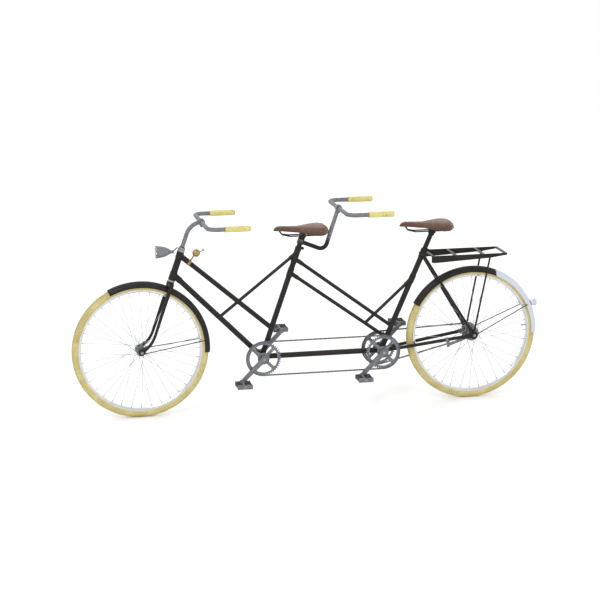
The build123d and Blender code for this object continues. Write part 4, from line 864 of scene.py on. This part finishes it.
def makeGrips(name, node, body):
    low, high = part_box(node)
    length = high.x - low.x
    radius, flange, thick, endRound = grip["radius"], grip["flange"], grip["flangeThick"], grip["endRound"]
    profile = [(grip["hole"], 0), (flange - 0.001, 0), (flange, 0.001), (flange, thick - 0.001),
               (radius, thick + 0.002)]
    profile += [(radius, length - endRound - 0.004), (flange - 0.0004, length - endRound - 0.002)]
    profile += [(radius - endRound * (1 - cos(a)), length - endRound * (1 - sin(a)))
                for a in [radians(15 * k) for k in range(7)]]
    profile += [(0.0001, length), (0.0001, length - 0.004), (grip["hole"], length - 0.004)]
    reach = (high.y - low.y) / 2 - flange
    z = (low.z + high.z) / 2
    count = int((length - thick - endRound - 0.022) / grip["ribStep"])
    ring = [(radius - 0.0006 + grip["rib"] * cos(a), grip["rib"] * 1.3 * sin(a))
            for a in [radians(60 * k) for k in range(6)]]
    for side, label in ((-1, "Left"), (1, "Right")):
        start = Vector((low.x, side * reach, z))
        sleeve = latheMesh(profile, start, (1, 0, 0), 32)
        newPiece(name + label, sleeve, finishes["creamGrip"], body, [node])
        item = helper(latheMesh(ring, Vector((0, 0, 0)), (1, 0, 0), 28))
        grow(name + "Ribs" + label, "row", {"Item": item, "Count": count, "First": start + Vector((0.014, 0, 0)),
                                            "Step": Vector((grip["ribStep"], 0, 0)),
                                            "Finish": finishes["creamGrip"]}, body)


makeGrips("frontGrip", "front_grips", "front_bar")
makeGrips("stokerGrip", "stoker_grips", "stoker_bar")
print("grips made")


# saddles: one moulded hide with a rolled skirt, riveted to the frame
saddle = {"stations": 34, "across": 28, "wall": 0.0042, "crown": 0.10,
          "plan": [(0.0, 0.010), (0.045, 0.0175), (0.20, 0.0195), (0.38, 0.028), (0.58, 0.060), (0.76, 0.090),
                   (0.87, 0.0915), (0.95, 0.072), (1.0, 0.042)],
          "top": [(0.0, 0.046), (0.08, 0.0555), (0.42, 0.0525), (0.70, 0.0575), (0.86, 0.0595), (0.94, 0.056),
                  (1.0, 0.046)],
          "hem": [(0.0, 0.032), (0.45, 0.023), (0.62, 0.013), (0.80, 0.011), (0.92, 0.013), (1.0, 0.020)]}


def read(table, share):
    # smooth step between the values of a short table
    for (x0, v0), (x1, v1) in zip(table, table[1:]):
        if share <= x1:
            t = (share - x0) / (x1 - x0)
            return v0 + (v1 - v0) * t * t * (3 - 2 * t)
    return table[-1][1]


def hidePoint(low, high, base, share, turn):
    # turn runs from -1, one hem, over the top to 1, the other
    half, top, hem = read(saddle["plan"], share), read(saddle["top"], share), read(saddle["hem"], share)
    side = -1 if turn < 0 else 1
    reach = abs(turn)
    edge = 0.62
    if reach <= edge:
        angle = reach / edge * pi / 2
        y = half * sin(angle) ** 0.92
        fall = min(0.020, half * 0.42)
        sag = saddle["crown"] * half * (reach / edge) ** 2 * 0.35
        z = top - fall * (1 - max(cos(angle), 0.0) ** 0.75) - sag
    else:
        fall = min(0.020, half * 0.42)
        start = top - fall - saddle["crown"] * half * 0.35
        t = (reach - edge) / (1 - edge)
        y = half * (1 - 0.06 * t * t)
        z = start + (min(hem, start - 0.004) - start) * t
    return Vector((low.x + (high.x - low.x) * share, side * y, base + z))


def makeSaddle(name, node, body):
    low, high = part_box(node)
    base = high.z - 0.0602
    stations, across = saddle["stations"], saddle["across"]
    verts, skirt = [], []
    for i in range(stations + 1):
        share = i / stations
        for j in range(across + 1):
            turn = 2 * j / across - 1
            verts.append(hidePoint(low, high, base, share, turn))
            skirt.append(max(abs(turn), 1.0 - 6 * share if share < 0.1 else 0.0, (share - 0.9) * 9))
    row = across + 1
    faces = [(i * row + j, i * row + j + 1, (i + 1) * row + j + 1, (i + 1) * row + j)
             for i in range(stations) for j in range(across)]
    for end in (0, stations):
        # the nose and tail turn down to the hem
        first = end * row
        middle = [verts[first + j] for j in range(row)]
        inward = 1 if end == 0 else -1
        start = len(verts)
        for j in range(row):
            drop = middle[j].copy()
            drop.z = min(drop.z, verts[first].z + (drop.z - verts[first].z) * 0.5)
            drop.x -= inward * 0.0012
            verts.append(drop)
            skirt.append(1.0)
        for j in range(across):
            faces.append((first + j, first + j + 1, start + j + 1, start + j))
        start2 = len(verts)
        for j in range(row):
            drop = middle[j].copy()
            drop.z = verts[first].z
            verts.append(drop)
            skirt.append(1.0)
        for j in range(across):
            faces.append((start + j, start + j + 1, start2 + j + 1, start2 + j))
    mesh = bpy.data.meshes.new(name)
    mesh.from_pydata(verts, [], faces)
    shade = mesh.attributes.new("skirt", "FLOAT", "POINT")
    shade.data.foreach_set("value", [min(value, 1.0) for value in skirt])
    made = bmesh.new()
    made.from_mesh(mesh)
    bmesh.ops.recalc_face_normals(made, faces=made.faces)
    crown = Vector((low.x + 0.18, 0, high.z))
    middleFace = min(made.faces, key=lambda face: (face.calc_center_median() - crown).length)
    if middleFace.normal.z < 0:
        bmesh.ops.reverse_faces(made, faces=made.faces)
    made.to_mesh(mesh)
    made.free()
    smooth(mesh, 60)
    piece = newPiece(name, mesh, finishes["saddleHide"], body, [node])
    wall = piece.modifiers.new("wall", "SOLIDIFY")
    wall.thickness = saddle["wall"]
    wall.offset = -1
    wall.use_rim = True
    rounded = piece.modifiers.new("rounded", "SUBSURF")
    rounded.levels = rounded.render_levels = 1
    return low, high, base


def rivetMesh(radius, height, axis):
    profile = [(0.00005, -height), (radius, -height), (radius, 0.0), (radius * 0.86, height * 0.55),
               (radius * 0.5, height * 0.9), (0.00005, height)]
    return latheMesh(profile, Vector((0, 0, 0)), axis, 12)


def spots(places):
    mesh = bpy.data.meshes.new("spots")
    mesh.from_pydata([tuple(place) for place in places], [], [])
    return helper(mesh)


def saddleRivets(name, body, low, high, base):
    # six across the tail and two on the nose
    places = []
    for share, turn in ((0.93, 0.10), (0.93, 0.30), (0.915, 0.48), (0.045, 0.22)):
        for side in (-1, 1):
            places.append(hidePoint(low, high, base, share, side * turn) + Vector((0, 0, 0.0008)))
    grow(name, "spots", {"Item": helper(rivetMesh(0.0042, 0.0014, (0, 0, 1))), "Spots": spots(places),
                         "Finish": finishes["agedBrass"]}, body)


for label, body in (("front", "front_seat"), ("rear", "rear_seat")):
    corners = makeSaddle(label + "SaddleHide", label + "_saddle_leather", body)
    saddleRivets(label + "SaddleRivets", body, *corners)
print("saddles made")


# pedals: a pressed cage with two ribbed rubbers
pedal = {"plate": 0.003, "rubberDeep": 0.026, "rubberHigh": 0.0205, "rubberAt": 0.025, "barrel": 0.009,
         "ridges": 9, "ridgeHigh": 0.0012, "rod": 0.0025}


def pedalCage(low, high, centre, side):
    near, far = (low.y, high.y) if side > 0 else (high.y, low.y)
    inner = near + side * 0.001
    outer = far - side * 0.002

    def build(made):
        for y in (inner + side * pedal["plate"] / 2, outer - side * pedal["plate"] / 2):
            block(made, Vector((centre.x, y, centre.z)), (high.x - low.x - 0.001, pedal["plate"], 0.0245),
                  0.0011)
        for forward in (-1, 1):
            x = centre.x + forward * pedal["rubberAt"]
            tube(made, [(x, inner - side * 0.0008, centre.z), (x, outer + side * 0.0008, centre.z)],
                 [pedal["rod"]] * 2, 10)
            for y, out in ((inner, -side), (outer, side)):
                tube(made, [(x, y + out * 0.0002, centre.z), (x, y + out * 0.0018, centre.z)],
                     [0.0042, 0.0038], 6)
    mesh = newMesh(build)
    smooth(mesh)
    return mesh, inner, outer


def makePedal(name, node, body):
    low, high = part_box(node)
    centre = jointPlace[node.replace("_pedal", "") + "_pedal_spin"]
    side = 1 if centre.y > 0 else -1
    cage, inner, outer = pedalCage(low, high, centre, side)
    newPiece(name + "Cage", cage, finishes["platedSteel"], body, [node])
    bore, barrel, length = 0.00605, pedal["barrel"], abs(outer - inner)
    profile = [(bore, 0), (barrel * 0.95, 0), (barrel, 0.001), (barrel, 0.012), (barrel * 0.84, 0.020),
               (barrel * 0.84, length - 0.018), (barrel, length - 0.010), (barrel, length + 0.0005),
               (barrel * 0.8, length + 0.002), (bore, length + 0.002)]
    start = Vector((centre.x, inner, centre.z))
    newPiece(name + "Barrel", latheMesh(profile, start, (0, side, 0), 28), finishes["platedSteel"], body)
    span = length - 2 * pedal["plate"] - 0.0006
    middle = (inner + outer) / 2

    def rubbers(made):
        for forward in (-1, 1):
            spot = Vector((centre.x + forward * pedal["rubberAt"], middle, centre.z))
            block(made, spot, (pedal["rubberDeep"], span, pedal["rubberHigh"]), 0.003, segments=3)
    mesh = newMesh(rubbers)
    smooth(mesh)
    newPiece(name + "Rubbers", mesh, finishes["blockRubber"], body)

    def ridge(made):
        for forward in (-1, 1):
            for up in (-1, 1):
                spot = Vector((centre.x + forward * pedal["rubberAt"], 0,
                               centre.z + up * pedal["rubberHigh"] / 2))
                block(made, spot, (pedal["rubberDeep"] - 0.005, 0.0042, 2 * pedal["ridgeHigh"]), 0.0005,
                      segments=1)
    step = (span - 0.008) / (pedal["ridges"] - 1)
    first = middle - (span - 0.008) / 2
    grow(name + "Ridges", "row", {"Item": helper(newMesh(ridge)), "Count": pedal["ridges"],
                                  "First": Vector((0, first, 0)), "Step": Vector((0, step, 0)),
                                  "Finish": finishes["blockRubber"]}, body)


for end in ("front", "rear"):
    for hand in ("left", "right"):
        makePedal(end + hand.capitalize() + "Pedal", f"{end}_{hand}_pedal", f"{end}_pedal_{hand}")
print("pedals made")


# headlamp front: fluted glass, silvered bowl and bulb
lamp = {"flutes": 11, "fluteDeep": 0.0006, "dome": 0.0045, "rings": 14, "around": 48}


def makeLampGlass():
    low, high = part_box("headlamp_lens")
    radius = (high.y - low.y) / 2
    centre = Vector((low.x, (low.y + high.y) / 2, (low.z + high.z) / 2))

    def build(made):
        for back in (0, 1):
            rings = []
            for i in range(1, lamp["rings"] + 1):
                r = radius * i / lamp["rings"]
                ring = []
                for j in range(lamp["around"]):
                    angle = 2 * pi * j / lamp["around"]
                    y, z = r * cos(angle), r * sin(angle)
                    swell = lamp["dome"] * (1 - (r / radius) ** 2)
                    wave = cos(2 * pi * lamp["flutes"] * y / (2 * radius))
                    flute = lamp["fluteDeep"] * wave * (i < lamp["rings"])
                    x = -swell - flute if not back else 0.0016 - swell * 0.9
                    ring.append(made.verts.new(centre + Vector((x + 0.0006, y, z))))
                rings.append(ring)
            made.faces.new(rings[0])
            for here, after in zip(rings, rings[1:]):
                for j in range(lamp["around"]):
                    k = (j + 1) % lamp["around"]
                    made.faces.new((here[j], here[k], after[k], after[j]))
            if back:
                for j in range(lamp["around"]):
                    k = (j + 1) % lamp["around"]
                    made.faces.new((front[j], front[k], rings[-1][k], rings[-1][j]))
            front = rings[-1]
    mesh = newMesh(build)
    smooth(mesh, 50)
    newPiece("headlampGlass", mesh, finishes["clearGlass"], "headlamp", ["headlamp_lens"])
    back = centre + Vector((0.004, 0, 0))
    outer = radius - 0.001
    bowl = [(outer * cos(a), 0.026 * sin(a)) for a in [radians(7 * k) for k in range(12)]]
    wall = [(r - 0.0007 if r > 0.002 else r, a - 0.0007) for r, a in bowl][::-1]
    newPiece("headlampBowl", latheMesh(bowl + wall, back, (1, 0, 0), 40), finishes["silveredBowl"], "headlamp")
    bulb = [(0.0001, -0.0095), (0.0030, -0.0085), (0.0045, -0.0050), (0.0042, -0.001), (0.0030, 0.003),
            (0.0048, 0.004), (0.0048, 0.011), (0.0001, 0.011)]
    bulbPlace = back + Vector((0.013, 0, 0))
    newPiece("headlampBulb", latheMesh(bulb, bulbPlace, (1, 0, 0), 20), finishes["clearGlass"],
             "headlamp")


def makeTailLens():
    # a domed red glass set in the pale housing
    low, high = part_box("tail_lamp")
    radius = (high.y - low.y) / 2
    centre = Vector((high.x, 0, (low.z + high.z) / 2))
    profile = [(radius * 0.80, -0.004), (radius * 0.80, 0.0002)]
    steps = [radians(15 * k) for k in range(1, 6)]
    profile += [(radius * 0.80 * cos(a), 0.0002 + 0.0045 * sin(a)) for a in steps]
    profile += [(0.0001, 0.0047), (0.0001, -0.004)]
    newPiece("tailLampLens", latheMesh(profile, centre, (1, 0, 0), 36), finishes["redLens"], "frame")


makeLampGlass()
makeTailLens()
print("lamps made")


# rivets on the rack
def makeFasteners():
    low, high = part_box("rear_rack")
    z = high.z - 0.0062
    shares = (0.02, 0.31, 0.68, 0.975)
    for side, label in ((-1, "Left"), (1, "Right")):
        y = high.y if side > 0 else low.y
        places = [Vector((low.x + (high.x - low.x) * share, y, z)) for share in shares]
        grow("rackRivets" + label, "spots", {"Item": helper(rivetMesh(0.0034, 0.0012, (0, side, 0))),
                                             "Spots": spots(places), "Finish": finishes["frameEnamel"]},
             "frame")


makeFasteners()
print("fasteners made")
